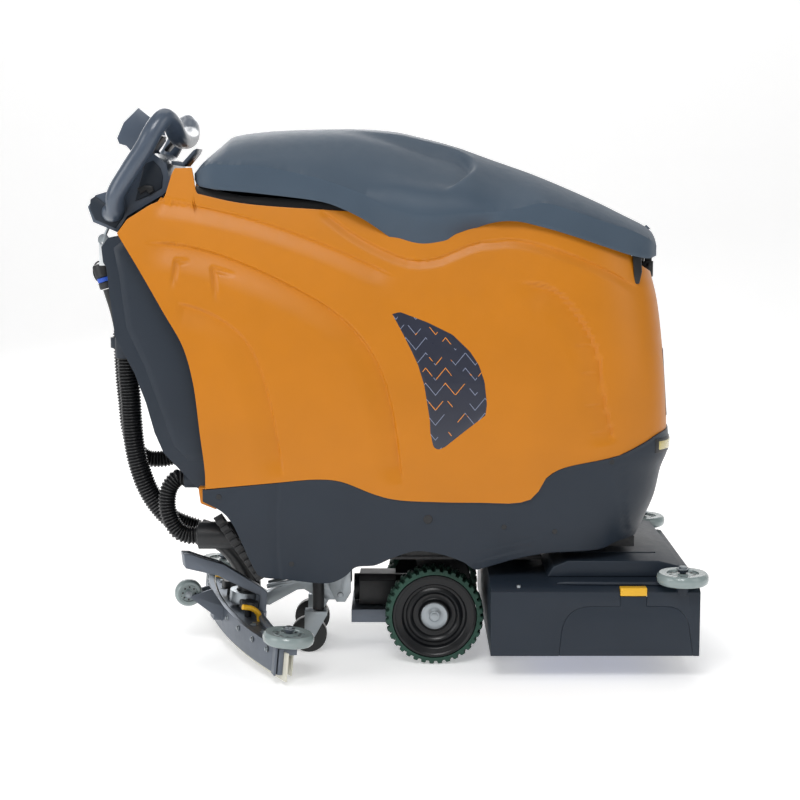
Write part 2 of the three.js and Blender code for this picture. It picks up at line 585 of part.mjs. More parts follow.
// ---------------------------------------------------------------- operator controls
function buildControls() {
  const body = plateXZ([
    [-594, 925], [-584, 895], [-537, 875], [-516, 907], [-472, 933], [-446, 948], [-426, 966], [-434, 990],
    [-437, 1010], [-462, 1030], [-490, 1020], [-545, 958], [-578, 948],
  ], -150, 150);
  const keyHole = rodTo(3.6, [-553.3, -104, 900.4], [-566, -104, 873.3]);
  part(machine, 'console', cut(body, keyHole), COLOUR.grip, 0.3);

  const right = [
    [-546, -151, 914], [-546, -161, 914], [-534, -183, 918], [-530, -199, 948], [-500, -205, 998],
    [-472, -205, 1040], [-451, -201, 1078], [-435, -186, 1098], [-425, -158, 1090], [-420, -116, 1069],
    [-420, 0, 1059],
  ];
  const left = right.slice(0, -1).map(([x, y, z]) => [x, -y, z]).reverse();
  part(machine, 'handlebar', tubeAlong([...right, ...left], GRIP_RADIUS, 40, 12), COLOUR.grip, 0.3);

  let pod = plateXZ([
    [-541, 1050], [-527, 1046], [-499, 1014], [-466, 1058], [-472, 1098], [-501, 1121], [-531, 1092],
    [-545, 1061],
  ], -75, 75);
  const faceNormal = [-0.695, 0, 0.719];
  const onFace = (y, depth) => [-516 + faceNormal[0] * depth, y, 1106.5 + faceNormal[2] * depth];
  ['start', 'suction'].forEach((name, i) => {
    const y = -20 + 40 * i;
    pod = cut(pod, rodTo(8.5, onFace(y, -8), onFace(y, 8)));
    const colour = i ? COLOUR.black : COLOUR.yellow;
    part(machine, `${name}_button`, rodTo(8, onFace(y, -5), onFace(y, 3)), colour, 0.4);
  });
  part(machine, 'display_pod', pod, COLOUR.grip, 0.35);

  for (const { side, s } of SIDES) {
    const y = across(s, 80, 140);
    const paddle = plateXZ([[-472, 1040], [-467, 1035], [-444, 1062], [-449, 1067]], ...y);
    part(machine, `drive_paddle_${side}`, paddle, COLOUR.black, 0.5);
  }
  const tray = plateXZ([
    [-430, 1008], [-405, 1004], [-383, 1030], [-379, 1040], [-386, 1036], [-408, 1012], [-430, 1016],
  ], -128, -18);
  part(machine, 'tool_tray', tray, COLOUR.black, 0.4);

  const key = join(rodTo(3, [-556, -104, 894.6], [-568.5, -104, 868]), rodY(11, -572, 859, -106, -102, 20));
  part(machine, 'ignition_key', cut(key, rodY(2, -575, 852, -110, -98, 10)), COLOUR.steel, 0.3, 1);
  const tag = cut(box(-582, -568, -101.6, -98.6, 806, 856), rodY(2, -575, 852, -110, -90, 10));
  part(machine, 'key_tag', tag, COLOUR.zinc, 0.5);
}

// ---------------------------------------------------------------- hoses
const SUCTION_ROUTE = [
  [-402.4, 0, 243.6], [-430, -3, 254], [-457, -9, 268], [-483, -15, 297], [-504, -19, 333], [-520, -22, 378],
  [-530, -24, 428], [-534, -26, 480], [-536, -28, 530], [-539, -30, 572], [-540, -30, 592], [-540, -30, 611],
];
const DRAIN_ROUTE = [
  [-435.6, 20, 396], [-452, 20, 396], [-480, 20, 391], [-511, 20, 394], [-535, 20, 416], [-547, 20, 456],
  [-552, 20, 510], [-556, 20, 560], [-558.5, 20, 610], [-560, 20, 655], [-568, 20, 700], [-583, 20, 752],
];
const TANK_LINE_ROUTE = [
  [-410.6, -150, 380], [-424, -150, 380], [-440, -150, 363], [-447, -150, 330], [-441, -150, 297],
  [-424, -150, 270], [-404, -150, 262], [-389, -150, 262],
];

function buildHoses() {
  part(machine, 'suction_hose', tubeAlong(SUCTION_ROUTE, 22, 18, 10), COLOUR.black, 0.7);
  part(machine, 'drain_hose', tubeAlong(DRAIN_ROUTE, 18, 20), COLOUR.black, 0.7);
  part(machine, 'tank_line_hose', tubeAlong(TANK_LINE_ROUTE, 18, 10), COLOUR.black, 0.7);
  part(machine, 'drain_cap', rodTo(21, [-583.2, 20, 752.6], [-599, 20, 806], 20), COLOUR.black, 0.6);
}

buildBody();
buildRecoveryTank();
buildSeal();
buildLid();
buildChassis();
buildDrive();
buildCastors();
buildTowArm();
buildSqueegee();
buildDeck();
buildControls();
buildHoses();

export default machine;
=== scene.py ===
"""Looks for a walk-behind floor scrubber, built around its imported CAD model.

Shapes are drawn in millimetres: x forward from a point 17 mm behind the middle of the machine,
y to the machine's left and z up from the floor. at() turns them into the row frame's metres.
"""

import math

import bmesh
import bpy
from mathutils import Matrix, Vector


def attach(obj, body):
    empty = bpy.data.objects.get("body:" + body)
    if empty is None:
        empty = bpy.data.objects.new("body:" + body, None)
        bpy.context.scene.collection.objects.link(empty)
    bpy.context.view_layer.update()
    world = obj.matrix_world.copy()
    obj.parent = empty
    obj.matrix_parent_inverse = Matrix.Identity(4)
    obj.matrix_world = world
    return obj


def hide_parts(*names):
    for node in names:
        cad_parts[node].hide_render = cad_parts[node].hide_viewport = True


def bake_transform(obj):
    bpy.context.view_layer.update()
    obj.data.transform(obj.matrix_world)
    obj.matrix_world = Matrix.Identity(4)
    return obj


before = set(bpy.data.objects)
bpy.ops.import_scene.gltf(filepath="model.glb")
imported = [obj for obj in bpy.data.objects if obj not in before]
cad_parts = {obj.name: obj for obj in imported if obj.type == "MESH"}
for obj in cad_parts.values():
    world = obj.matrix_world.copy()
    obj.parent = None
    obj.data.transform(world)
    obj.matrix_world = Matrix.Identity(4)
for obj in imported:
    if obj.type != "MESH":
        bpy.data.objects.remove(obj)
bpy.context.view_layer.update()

MM = 0.001
SHIFT = -17.0  # where the drawing's origin is, from the row frame's
SIDES = (("right", -1), ("left", 1))


def at(x, y, z):
    return Vector(((x + SHIFT) * MM, y * MM, z * MM))


def smooth(t):
    t = min(max(t, 0.0), 1.0)
    return t * t * (3 - 2 * t)


def lerp(a, b, t):
    return a + (b - a) * t


# ---- camera
CAMERA_AT = (0.008, -3.640, 0.992)
CAMERA_DOWN = 7.4  # degrees below the horizon
camera_data = bpy.data.cameras.new("camera")
camera_data.lens = 78.75
camera_data.sensor_width = 36
camera = bpy.data.objects.new("camera", camera_data)
camera.location = CAMERA_AT
camera.rotation_euler = (math.radians(90 - CAMERA_DOWN), 0, 0)
bpy.context.scene.collection.objects.link(camera)
bpy.context.scene.camera = camera


# ---- curves and forms
def catmull(points, steps):
    """Points evenly spaced in parameter along a smooth curve through the given ones."""
    pts = [Vector(p) for p in points]
    pts = [2 * pts[0] - pts[1], *pts, 2 * pts[-1] - pts[-2]]
    spans = len(pts) - 3
    out = []
    for i in range(steps + 1):
        u = min(i / steps * spans, spans - 1e-9)
        k, t = int(u), u - int(u)
        a, b, c, d = pts[k:k + 4]
        knots = [0.0]
        for p, q in ((a, b), (b, c), (c, d)):
            knots.append(knots[-1] + max((q - p).length ** 0.5, 1e-6))
        t0, t1, t2, t3 = knots
        s = lerp(t1, t2, t)
        a1 = a * ((t1 - s) / (t1 - t0)) + b * ((s - t0) / (t1 - t0))
        a2 = b * ((t2 - s) / (t2 - t1)) + c * ((s - t1) / (t2 - t1))
        a3 = c * ((t3 - s) / (t3 - t2)) + d * ((s - t2) / (t3 - t2))
        b1 = a1 * ((t2 - s) / (t2 - t0)) + a2 * ((s - t0) / (t2 - t0))
        b2 = a2 * ((t3 - s) / (t3 - t1)) + a3 * ((s - t1) / (t3 - t1))
        out.append(b1 * ((t2 - s) / (t2 - t1)) + b2 * ((s - t1) / (t2 - t1)))
    return out


def even(points, count):
    """Count + 1 points evenly spaced by length along a polyline."""
    pts = [Vector(p) for p in points]
    runs = [0.0]
    for a, b in zip(pts, pts[1:]):
        runs.append(runs[-1] + (b - a).length)
    out, k = [], 0
    for i in range(count + 1):
        want = runs[-1] * i / count
        while k < len(runs) - 2 and runs[k + 1] < want:
            k += 1
        out.append(pts[k].lerp(pts[k + 1], (want - runs[k]) / max(runs[k + 1] - runs[k], 1e-9)))
    return out


def curve_table(points):
    """A smooth y of x through points with rising x, as a function."""
    dense = catmull([(x, y, 0) for x, y in points], 24 * len(points))

    def value(x):
        if x <= dense[0].x:
            return dense[0].y
        low, high = 0, len(dense) - 1
        while high - low > 1:
            mid = (low + high) // 2
            if dense[mid].x <= x:
                low = mid
            else:
                high = mid
        a, b = dense[low], dense[high]
        return lerp(a.y, b.y, min((x - a.x) / max(b.x - a.x, 1e-9), 1.0))

    return value


def axis_frame(axis):
    """A turn that takes +Z to the axis."""
    return Vector((0, 0, 1)).rotation_difference(Vector(axis).normalized()).to_matrix()


# Faces of a box whose corners go round its lower end and then round its upper end.
BOX_FACES = [[3, 2, 1, 0], [4, 5, 6, 7], [0, 1, 5, 4], [1, 2, 6, 5], [2, 3, 7, 6], [3, 0, 4, 7]]


class Form:
    """Vertices in millimetres and faces, gathered from simple closed forms."""

    def __init__(self):
        self.verts, self.faces = [], []

    def add(self, verts, faces):
        base = len(self.verts)
        self.verts += [Vector(v) for v in verts]
        self.faces += [[i + base for i in face] for face in faces]
        return self

    def grid(self, rows, round_rows=False, round_cols=False, caps=False):
        n, m = len(rows), len(rows[0])
        faces = []
        for r in range(n if round_rows else n - 1):
            for c in range(m if round_cols else m - 1):
                r2, c2 = (r + 1) % n, (c + 1) % m
                faces.append([r * m + c, r * m + c2, r2 * m + c2, r2 * m + c])
        if caps:
            faces.append(list(range(m))[::-1])
            faces.append([(n - 1) * m + i for i in range(m)])
        return self.add([p for row in rows for p in row], faces)

    def lathe(self, profile, centre, axis=(0, 0, 1), sides=48, wave=None):
        """A profile of (radius, height) turned about an axis; closed if its ends meet."""
        turn = axis_frame(axis)
        closed = (Vector(profile[0]) - Vector(profile[-1])).length < 1e-6
        points = profile[:-1] if closed else profile
        rows = []
        for r, h in points:
            row = []
            for i in range(sides):
                t = 2 * math.pi * i / sides
                grow = wave(t, r, h) if wave else 0.0
                local = Vector(((r + grow) * math.cos(t), (r + grow) * math.sin(t), h))
                row.append(Vector(centre) + turn @ local)
            rows.append(row)
        return self.grid(rows, round_rows=closed, round_cols=True, caps=not closed)

    def rod(self, a, b, radius, sides=24, edge=0.0):
        a, b = Vector(a), Vector(b)
        length = (b - a).length
        edge = edge or radius * 0.12
        profile = [(radius - edge, 0), (radius, edge), (radius, length - edge), (radius - edge, length)]
        return self.lathe(profile, a, b - a, sides)

    def bolt(self, at_point, axis, radius, height):
        """A hexagon head on a washer, with a chamfered top."""
        start, along = Vector(at_point), Vector(axis).normalized()
        self.rod(start, start + along * height * 0.25, radius * 1.5, 28)
        top = start + along * height * 0.25
        flat = radius * 0.16
        self.lathe([(radius, 0), (radius, height * 0.7), (radius - flat, height * 0.8)], top, along, 6)
        return self

    def tube(self, points, radius, sides=20, steps=0, caps=True):
        """A round tube along points; radius is a number or a function of the fraction along."""
        line = catmull(points, steps) if steps else [Vector(p) for p in points]
        last = len(line) - 1
        tangents = [(line[min(i + 1, last)] - line[max(i - 1, 0)]).normalized() for i in range(last + 1)]
        side = tangents[0].cross(Vector((0, 0, 1)))
        if side.length < 0.1:
            side = tangents[0].cross(Vector((0, 1, 0)))
        side.normalize()
        rows = []
        for i, (p, t) in enumerate(zip(line, tangents)):
            if i:
                side = tangents[i - 1].rotation_difference(t) @ side
            up = t.cross(side).normalized()
            r = radius(i / last) if callable(radius) else radius
            rows.append([
                p + (side * math.cos(a) + up * math.sin(a)) * r
                for a in (2 * math.pi * k / sides for k in range(sides))
            ])
        return self.grid(rows, round_cols=True, caps=caps)

    def block(self, x0, x1, y0, y1, z0, z1):
        corners = [(x, y, z) for z in (z0, z1) for x, y in ((x0, y0), (x1, y0), (x1, y1), (x0, y1))]
        return self.add(corners, BOX_FACES)

    def slab(self, outline, y0, y1):
        """An outline in x and z, pushed along y."""
        rows = [[(x, y, z) for x, z in outline] for y in (y0, y1)]
        return self.grid(rows, round_cols=True, caps=True)

    def slab_pair(self, outline, inner, outer):
        """The same slab on both sides of the machine, between two distances from its middle."""
        for _, s in SIDES:
            self.slab(outline, *sorted((s * inner, s * outer)))
        return self

    def block_pair(self, x0, x1, inner, outer, z0, z1):
        """The same block on both sides of the machine, between two distances from its middle."""
        for _, s in SIDES:
            self.block(x0, x1, *sorted((s * inner, s * outer)), z0, z1)
        return self

    def piece(self, name, material, body, slot=None, replaces=(), place=None, bevel=0.0, sharp=40):
        mesh = bpy.data.meshes.new(name)
        moved = [place @ v for v in self.verts] if place else self.verts
        mesh.from_pydata([at(*v) for v in moved], [], self.faces)
        mesh.materials.append(material)
        obj = bpy.data.objects.new(name, mesh)
        bpy.context.scene.collection.objects.link(obj)
        face_outwards(mesh)
        finish_edges(obj, merge=False, bevel=bevel, sharp=sharp)
        if replaces:
            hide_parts(*replaces)
        if body:
            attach(obj, body)
        return obj


# ---- shading of edges
WELD_GAP = 0.02  # mm between corners that are one
FLAT_ANGLE = 1.2  # degrees between faces that are one


def geometry_group(name):
    """An empty node group for a modifier: its nodes, its linker, its way in and its way out."""
    group = bpy.data.node_groups.new(name, "GeometryNodeTree")
    group.interface.new_socket("Geometry", in_out="INPUT", socket_type="NodeSocketGeometry")
    group.interface.new_socket("Geometry", in_out="OUTPUT", socket_type="NodeSocketGeometry")
    start, end = group.nodes.new("NodeGroupInput"), group.nodes.new("NodeGroupOutput")
    return group, start.outputs[0], end.inputs[0]


def weld_group():
    """Joins corners that meet."""
    group, start, end = geometry_group("weld")
    weld = group.nodes.new("GeometryNodeMergeByDistance")
    weld.inputs["Distance"].default_value = WELD_GAP * MM
    group.links.new(start, weld.inputs[0])
    group.links.new(weld.outputs[0], end)
    return group


def shade_group(sharp):
    """Shades a mesh smooth, except over edges sharper than an angle."""
    group, start, end = geometry_group(f"shade_{sharp}")
    nodes, link = group.nodes, group.links.new
    angle = nodes.new("GeometryNodeInputMeshEdgeAngle")
    below = nodes.new("FunctionNodeCompare")
    below.operation = "LESS_EQUAL"
    below.inputs[1].default_value = math.radians(sharp)
    link(angle.outputs[0], below.inputs[0])
    smooth_faces = nodes.new("GeometryNodeSetShadeSmooth")
    smooth_edges = nodes.new("GeometryNodeSetShadeSmooth")
    smooth_edges.domain = "EDGE"
    link(start, smooth_faces.inputs[0])
    link(smooth_faces.outputs[0], smooth_edges.inputs[0])
    link(below.outputs[0], smooth_edges.inputs["Shade Smooth"])
    link(smooth_edges.outputs[0], end)
    return group


WELD = weld_group()
SHADE = {angle: shade_group(angle) for angle in (40, 60)}


def face_outwards(mesh):
    work = bmesh.new()
    work.from_mesh(mesh)
    bmesh.ops.recalc_face_normals(work, faces=work.faces)
    work.to_mesh(mesh)
    work.free()


def add_bevel(obj, name, width, over):
    """Rounds the edges sharper than an angle in degrees."""
    rounding = obj.modifiers.new(name, "BEVEL")
    rounding.width = width * MM
    rounding.segments = 3
    rounding.limit_method = "ANGLE"
    rounding.angle_limit = math.radians(over)


def finish_edges(obj, merge=True, bevel=0.0, sharp=40):
    """Bevels an object's sharp edges and shades the rest smooth, all by modifiers."""
    if merge:
        obj.modifiers.new("weld", "NODES").node_group = WELD
        flat = obj.modifiers.new("flat", "DECIMATE")
        flat.decimate_type = "DISSOLVE"
        flat.angle_limit = math.radians(FLAT_ANGLE)
    if bevel:
        add_bevel(obj, "bevel", bevel, 32)
    obj.modifiers.new("shade", "NODES").node_group = SHADE[sharp]


def thicken(obj, thickness, lip, sharp):
    """Gives an open shell a wall and rounds its rim, all by modifiers."""
    wall = obj.modifiers.new("wall", "SOLIDIFY")
    wall.thickness = thickness * MM
    wall.offset = -1
    add_bevel(obj, "lip", lip, 50)
    obj.modifiers.new("shade", "NODES").node_group = SHADE[sharp]


# ---- materials
def linear(r, g, b):
    """An sRGB colour of 0 to 255 in linear light."""
    out = []
    for c in (r, g, b):
        c /= 255
        out.append(c / 12.92 if c <= 0.04045 else ((c + 0.055) / 1.055) ** 2.4)
    return (*out, 1.0)


class Paint:
    """A procedural material: colour drift, roughness drift and a fine bump."""

    CLOUD, SCUFF = 9.0, 55.0  # noise scales of the colour's drift and of the roughness's
    SMOOTHER, ROUGHER = 0.07, 0.09  # how far the roughness drifts each way

    def __init__(self, name, colour, rough, metal=0.0, drift=0.08, grain=0.0, grain_size=0.6, **extra):
        self.material = bpy.data.materials.new(name)
        self.material.use_nodes = True
        tree = self.material.node_tree
        self.nodes, self.link = tree.nodes, tree.links.new
        self.shader = self.nodes["Principled BSDF"]
        self.coords = self.nodes.new("ShaderNodeTexCoord").outputs["Object"]
        self.shader.inputs["Metallic"].default_value = metal
        for key, value in extra.items():
            self.shader.inputs[key.replace("_", " ")].default_value = value
        base = linear(*colour)
        cloud = self.noise(self.CLOUD, 4)
        darker = tuple(c * (1 - drift) for c in base[:3])
        lighter = tuple(min(c * (1 + drift), 1) for c in base[:3])
        self.colour = self.ramp(cloud, [(0.3, (*darker, 1)), (0.7, (*lighter, 1))])
        self.link(self.colour, self.shader.inputs["Base Color"])
        scuff = self.noise(self.SCUFF, 6)
        spread = self.nodes.new("ShaderNodeMapRange")
        spread.inputs["To Min"].default_value = max(rough - self.SMOOTHER, 0.03)
        spread.inputs["To Max"].default_value = min(rough + self.ROUGHER, 1)
        self.link(scuff, spread.inputs["Value"])
        self.link(spread.outputs[0], self.shader.inputs["Roughness"])
        self.height = None
        if grain:
            self.bump(self.noise(1000 / grain_size, 3), grain)

    def noise(self, scale, detail, source=None):
        node = self.nodes.new("ShaderNodeTexNoise")
        node.inputs["Scale"].default_value = scale
        node.inputs["Detail"].default_value = detail
        self.link(source or self.coords, node.inputs["Vector"])
        return node.outputs["Fac"]

    def ramp(self, source, stops):
        node = self.nodes.new("ShaderNodeValToRGB")
        while len(node.color_ramp.elements) < len(stops):
            node.color_ramp.elements.new(0.5)
        for element, (place, colour) in zip(node.color_ramp.elements, stops):
            element.position = place
            element.color = colour
        self.link(source, node.inputs[0])
        return node.outputs[0]

    def math(self, kind, a, b=0.0):
        node = self.nodes.new("ShaderNodeMath")
        node.operation = kind
        for socket, value in zip(node.inputs, (a, b)):
            if isinstance(value, (int, float)):
                socket.default_value = value
            else:
                self.link(value, socket)
        return node.outputs[0]

    def split(self):
        node = self.nodes.new("ShaderNodeSeparateXYZ")
        self.link(self.coords, node.inputs[0])
        return node.outputs

    def bump(self, source, depth):
        """Adds relief of the given depth in millimetres."""
        node = self.nodes.new("ShaderNodeBump")
        node.inputs["Distance"].default_value = depth * MM
        self.link(source, node.inputs["Height"])
        if self.height:
            self.link(self.height, node.inputs["Normal"])
        self.height = node.outputs[0]
        self.link(self.height, self.shader.inputs["Normal"])

    def worn(self, colour, amount=0.35):
        """Lighter scuffs on convex edges."""
        point = self.nodes.new("ShaderNodeNewGeometry").outputs["Pointiness"]
        edge = self.ramp(point, [(0.52, (0, 0, 0, 1)), (0.6, (1, 1, 1, 1))])
        patchy = self.math("MULTIPLY", edge, self.noise(140.0, 5))
        return self.tint(self.math("MULTIPLY", patchy, amount), colour)

    def tint(self, mask, colour):
        """Lays another colour over the paint, as strongly as the mask says."""
        mix = self.nodes.new("ShaderNodeMix")
        mix.data_type = "RGBA"
        self.link(mask, mix.inputs["Factor"])
        self.link(self.colour, mix.inputs["A"])
        mix.inputs["B"].default_value = linear(*colour)
        self.colour = mix.outputs["Result"]
        self.link(self.colour, self.shader.inputs["Base Color"])
        return self


ORANGE = Paint("orange_moulded", (192, 117, 15), 0.38, drift=0.035, grain=0.05, grain_size=0.9,
               Specular_IOR_Level=0.35).material
LID_GREY = Paint("lid_grained", (62, 77, 92), 0.5, drift=0.05, grain=0.16, grain_size=1.4,
                 Specular_IOR_Level=0.35).material
SLATE = Paint("slate_moulded", (33, 42, 53), 0.42, drift=0.06, grain=0.06, grain_size=1.0,
              Specular_IOR_Level=0.35).material
GRIP = Paint("grip_gloss", (72, 83, 98), 0.3, drift=0.05, grain=0.03, grain_size=0.8,
             Coat_Weight=0.25).material
BLACK = Paint("black_moulded", (22, 24, 27), 0.42, drift=0.15, grain=0.05).worn((70, 72, 76)).material
RUBBER = Paint("black_rubber", (20, 21, 23), 0.32, drift=0.15, grain=0.04, grain_size=0.8).material
FRAME_PAINT = Paint("frame_powder", (32, 33, 36), 0.5, 0.3, drift=0.12,
                    grain=0.06).worn((120, 120, 120)).material
ZINC = Paint("zinc_plate", (158, 165, 170), 0.34, 0.9, drift=0.12, grain=0.03, grain_size=2.5).material
CAST = Paint("cast_aluminium", (106, 113, 123), 0.42, 0.75, drift=0.08, grain=0.12, grain_size=1.1).material
TYRE = Paint("tyre_tread", (26, 62, 50), 0.7, drift=0.2, grain=0.2,
             grain_size=1.5).worn((60, 96, 84)).material
CLEAR = Paint("clear_urethane", (146, 160, 160), 0.2, drift=0.05, grain=0.02, Transmission_Weight=0.12,
              Coat_Weight=0.4).material
BLADE = Paint("blade_gum", (222, 220, 206), 0.4, drift=0.06, grain=0.04, Transmission_Weight=0.1).material
YELLOW = Paint("yellow_moulded", (232, 178, 38), 0.4, drift=0.05, grain=0.04).material
LENS = Paint("lens_amber", (244, 226, 150), 0.15, drift=0.04, Transmission_Weight=0.4,
             Coat_Weight=0.6).material
BLUE = Paint("blue_band", (36, 84, 190), 0.35, drift=0.06, grain=0.03).material
GLASS = Paint("display_glass", (14, 18, 24), 0.08, drift=0.3, Coat_Weight=0.8).material
DISC = Paint("wheel_disc", (14, 16, 19), 0.3, drift=0.15, grain=0.04, Specular_IOR_Level=0.4).material
CASE = Paint("battery_case", (30, 31, 34), 0.5, drift=0.15, grain=0.08).material
TAG = Paint("pale_fitting", (214, 218, 220), 0.4, drift=0.05, grain=0.04).material


def bristle_material():
    paint = Paint("brush_bristle", (44, 82, 156), 0.7, drift=0.2)
    across = paint.split()[1]
    stripes = paint.math("SINE", paint.math("MULTIPLY", across, 900.0))
    paint.bump(stripes, 1.2)
    paint.bump(paint.noise(1600.0, 2), 0.8)
    return paint.material


def panel_material():
    """Dark panel with thin pale zigzag lines and a few amber ones."""
    paint = Paint("pattern_panel", (34, 38, 54), 0.3, drift=0.1, Coat_Weight=0.3)
    x, _, z = paint.split()
    saw = paint.math("FRACT", paint.math("MULTIPLY", x, 26.0))
    fold = paint.math("ABSOLUTE", paint.math("SUBTRACT", saw, 0.5))
    ramped = paint.math("ADD", paint.math("MULTIPLY", z, 34.0), paint.math("MULTIPLY", fold, 1.6))
    line = paint.math("GREATER_THAN", paint.math("FRACT", ramped), 0.93)
    breaks = paint.math("GREATER_THAN", paint.noise(22.0, 1), 0.52)
    pale = paint.math("MULTIPLY", line, breaks)
    amber = paint.math("MULTIPLY", line, paint.math("GREATER_THAN", paint.noise(31.0, 1), 0.6))
    return paint.tint(pale, (120, 128, 150)).tint(amber, (226, 140, 40)).material


BRISTLE = bristle_material()
PANEL = panel_material()

# ---- hoses
RIB = 6.4  # distance from one rib to the next
RIB_DEPTH = 3.4
RINGS_PER_RIB = 8
SMOOTH_END = 4.5  # how much narrower than its ribs a hose's smooth end is
TAPER_FROM = {"drain_hose": 0.78}  # where along it a hose turns smooth, on its way to its cap
NO_TAPER = 2.0  # past the hose's end
SHORTEST_FREE_HOSE = 6  # diameters; a shorter one is a moulded connector, not a cord
HOSES = {
    "suction_hose": (22, [
        (-402.4, 0, 243.6), (-430, -3, 254), (-457, -9, 268), (-483, -15, 297), (-504, -19, 333),
        (-520, -22, 378), (-530, -24, 428), (-534, -26, 480), (-536, -28, 530), (-539, -30, 572),
        (-540, -30, 592), (-540, -30, 611)]),
    "drain_hose": (18, [
        (-435.6, 20, 396), (-452, 20, 396), (-480, 20, 391), (-511, 20, 394), (-535, 20, 416),
        (-547, 20, 456), (-552, 20, 510), (-556, 20, 560), (-558.5, 20, 610), (-560, 20, 655),
        (-568, 20, 700), (-583, 20, 752)]),
    "tank_line_hose": (18, [
        (-410.6, -150, 380), (-424, -150, 380), (-440, -150, 363), (-447, -150, 330),
        (-441, -150, 297), (-424, -150, 270), (-404, -150, 262), (-389, -150, 262)]),
}


def ribbed_hose(name, radius, route):
    line = catmull(route, 400)
    length = sum((b - a).length for a, b in zip(line, line[1:]))
    ribs = round(length / RIB)
    line = even(line, ribs * RINGS_PER_RIB)
    taper_from = TAPER_FROM.get(name, NO_TAPER)

    def width(t):
        rib = 0.5 + 0.5 * math.cos(2 * math.pi * t * ribs)
        ribbed = radius - RIB_DEPTH * (1 - rib ** 0.7)
        return lerp(ribbed, radius - SMOOTH_END, smooth((t - taper_from) / 0.03))

    form = Form().tube(line, width, 28)
    # The suction hose runs from the tow arm up to the tank, so it is kept on no body and its placement is
    # baked into its mesh.
    crosses = name == "suction_hose"
    body = None if crosses else "machine"
    hose = form.piece(name + "_ribbed", RUBBER, body, "black_rubber", (name,), sharp=60)
    if crosses:
        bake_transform(hose)
    if length < SHORTEST_FREE_HOSE * 2 * radius:
        return
    path = [tuple(at(*p)) for p in line[::3]]
    if path[-1] != tuple(at(*line[-1])):
        path.append(tuple(at(*line[-1])))


for name, (radius, route) in HOSES.items():
    ribbed_hose(name, radius, route)

# ---- moulded shells
CHEEK = 180.0  # where the straight sides start to round into the nose
TANK_REAR, COWL_REAR = -356.0, -362.0  # where the sides start, low down
RELIEF_FADE = 1.4  # the sides' relief fades where the nose is narrower than 1 / 1.4 of the body


def level_curves(levels):
    """Half width and nose position as functions of height."""
    half = curve_table([(z, half) for z, half, _ in levels])
    return half, curve_table([(z, nose) for z, _, nose in levels])


TANK_HALF, TANK_NOSE = level_curves([
    (330, 266, 566), (470, 270, 570), (560, 270, 566), (650, 267, 558), (740, 261, 546),
    (800, 255, 531), (880, 246, 512), (1010, 229, 470)])
COWL_HALF, COWL_NOSE = level_curves([
    (170, 225, 470), (210, 236, 495), (262, 248, 513), (302, 256, 531), (345, 262, 548),
    (400, 268, 560), (440, 272, 574), (500, 272, 571)])
SPLIT = curve_table([
    (-362, 376), (-229, 389), (-135, 397), (-92, 393), (-24, 367), (15, 357), (100, 352), (182, 351),
    (260, 351), (289, 363), (308, 397), (337, 417), (454, 442), (512, 466), (545, 480), (640, 480)])
RIM = [(-371, 953), (-284, 934), (-91, 919), (100, 906), (176, 901), (238, 905), (354, 886), (462, 843),
       (500, 812), (520, 800), (560, 780), (640, 760)]
RIM_HEIGHT = curve_table(RIM)
REAR_CORNER = [(-522, 876), (-502, 903), (-459, 930), (-417, 948), (-371, 953)]
REAR_EDGE = [(TANK_REAR, 378), (TANK_REAR, 410), (-365, 490), (-377, 589), (-396, 658), (-434, 726),
             (-481, 808), (-522, 876)]


def distance_to(path, x, z):
    """Signed distance to a polyline, positive on its left, and the fraction along it."""
    best, side, along = 1e9, 1, 0.0
    for k, ((ax, az), (bx, bz)) in enumerate(zip(path, path[1:])):
        dx, dz = bx - ax, bz - az
        t = min(max(((x - ax) * dx + (z - az) * dz) / (dx * dx + dz * dz), 0), 1)
        ex, ez = x - ax - t * dx, z - az - t * dz
        d = math.hypot(ex, ez)
        if d < best:
            best, along = d, (k + t) / (len(path) - 1)
            side = 1 if dx * ez - dz * ex > 0 else -1
    return best * side, along


def soft_path(points, count=28):
    return [(p.x, p.y) for p in catmull([(x, z, 0) for x, z in points], count)]


# Ledges on the tank's sides: path, height, how far the ledge fades out on its lower side.
LEDGES = [
    (soft_path([(-456, 941), (-410, 938), (-360, 929), (-283, 911), (-206, 888), (-110, 852),
                (25, 792)]), 5.0, 40),
    (soft_path([(-475, 860), (-417, 858), (-350, 845), (-283, 822), (-206, 787), (-110, 733), (-52, 681),
                (-14, 622), (11, 544), (25, 455), (33, 385)]), 7.0, 60),
    (soft_path([(-409, 745), (-371, 735), (-323, 714), (-275, 675), (-243, 613), (-218, 515),
                (-200, 400)]), 5.0, 60),
    (soft_path([(258, 791), (330, 765), (366, 727), (410, 649), (427, 550), (448, 465)]), 7.5, 60),
    (soft_path([(-128, 924), (-110, 912), (-67, 880), (-14, 850), (46, 827), (96, 830), (160, 856),
                (229, 868), (290, 858), (356, 837), (430, 806), (503, 765)]), 5.0, 22),
]
# Hooked notches: their low end, their peak and their tail. Level ticks: their middles.
NOTCHES = [((-415, 765), (-407, 821), (-380, 823)), ((-329, 740), (-336, 806), (-291, 795))]
NOTCH_DEPTH = 4.5
TICKS = [(383, 659), (395, 604), (403, 541), (409, 487)]
TICK_DEPTH, TICK_HALF_LENGTH, TICK_HALF_HEIGHT = 1.4, 9, 4


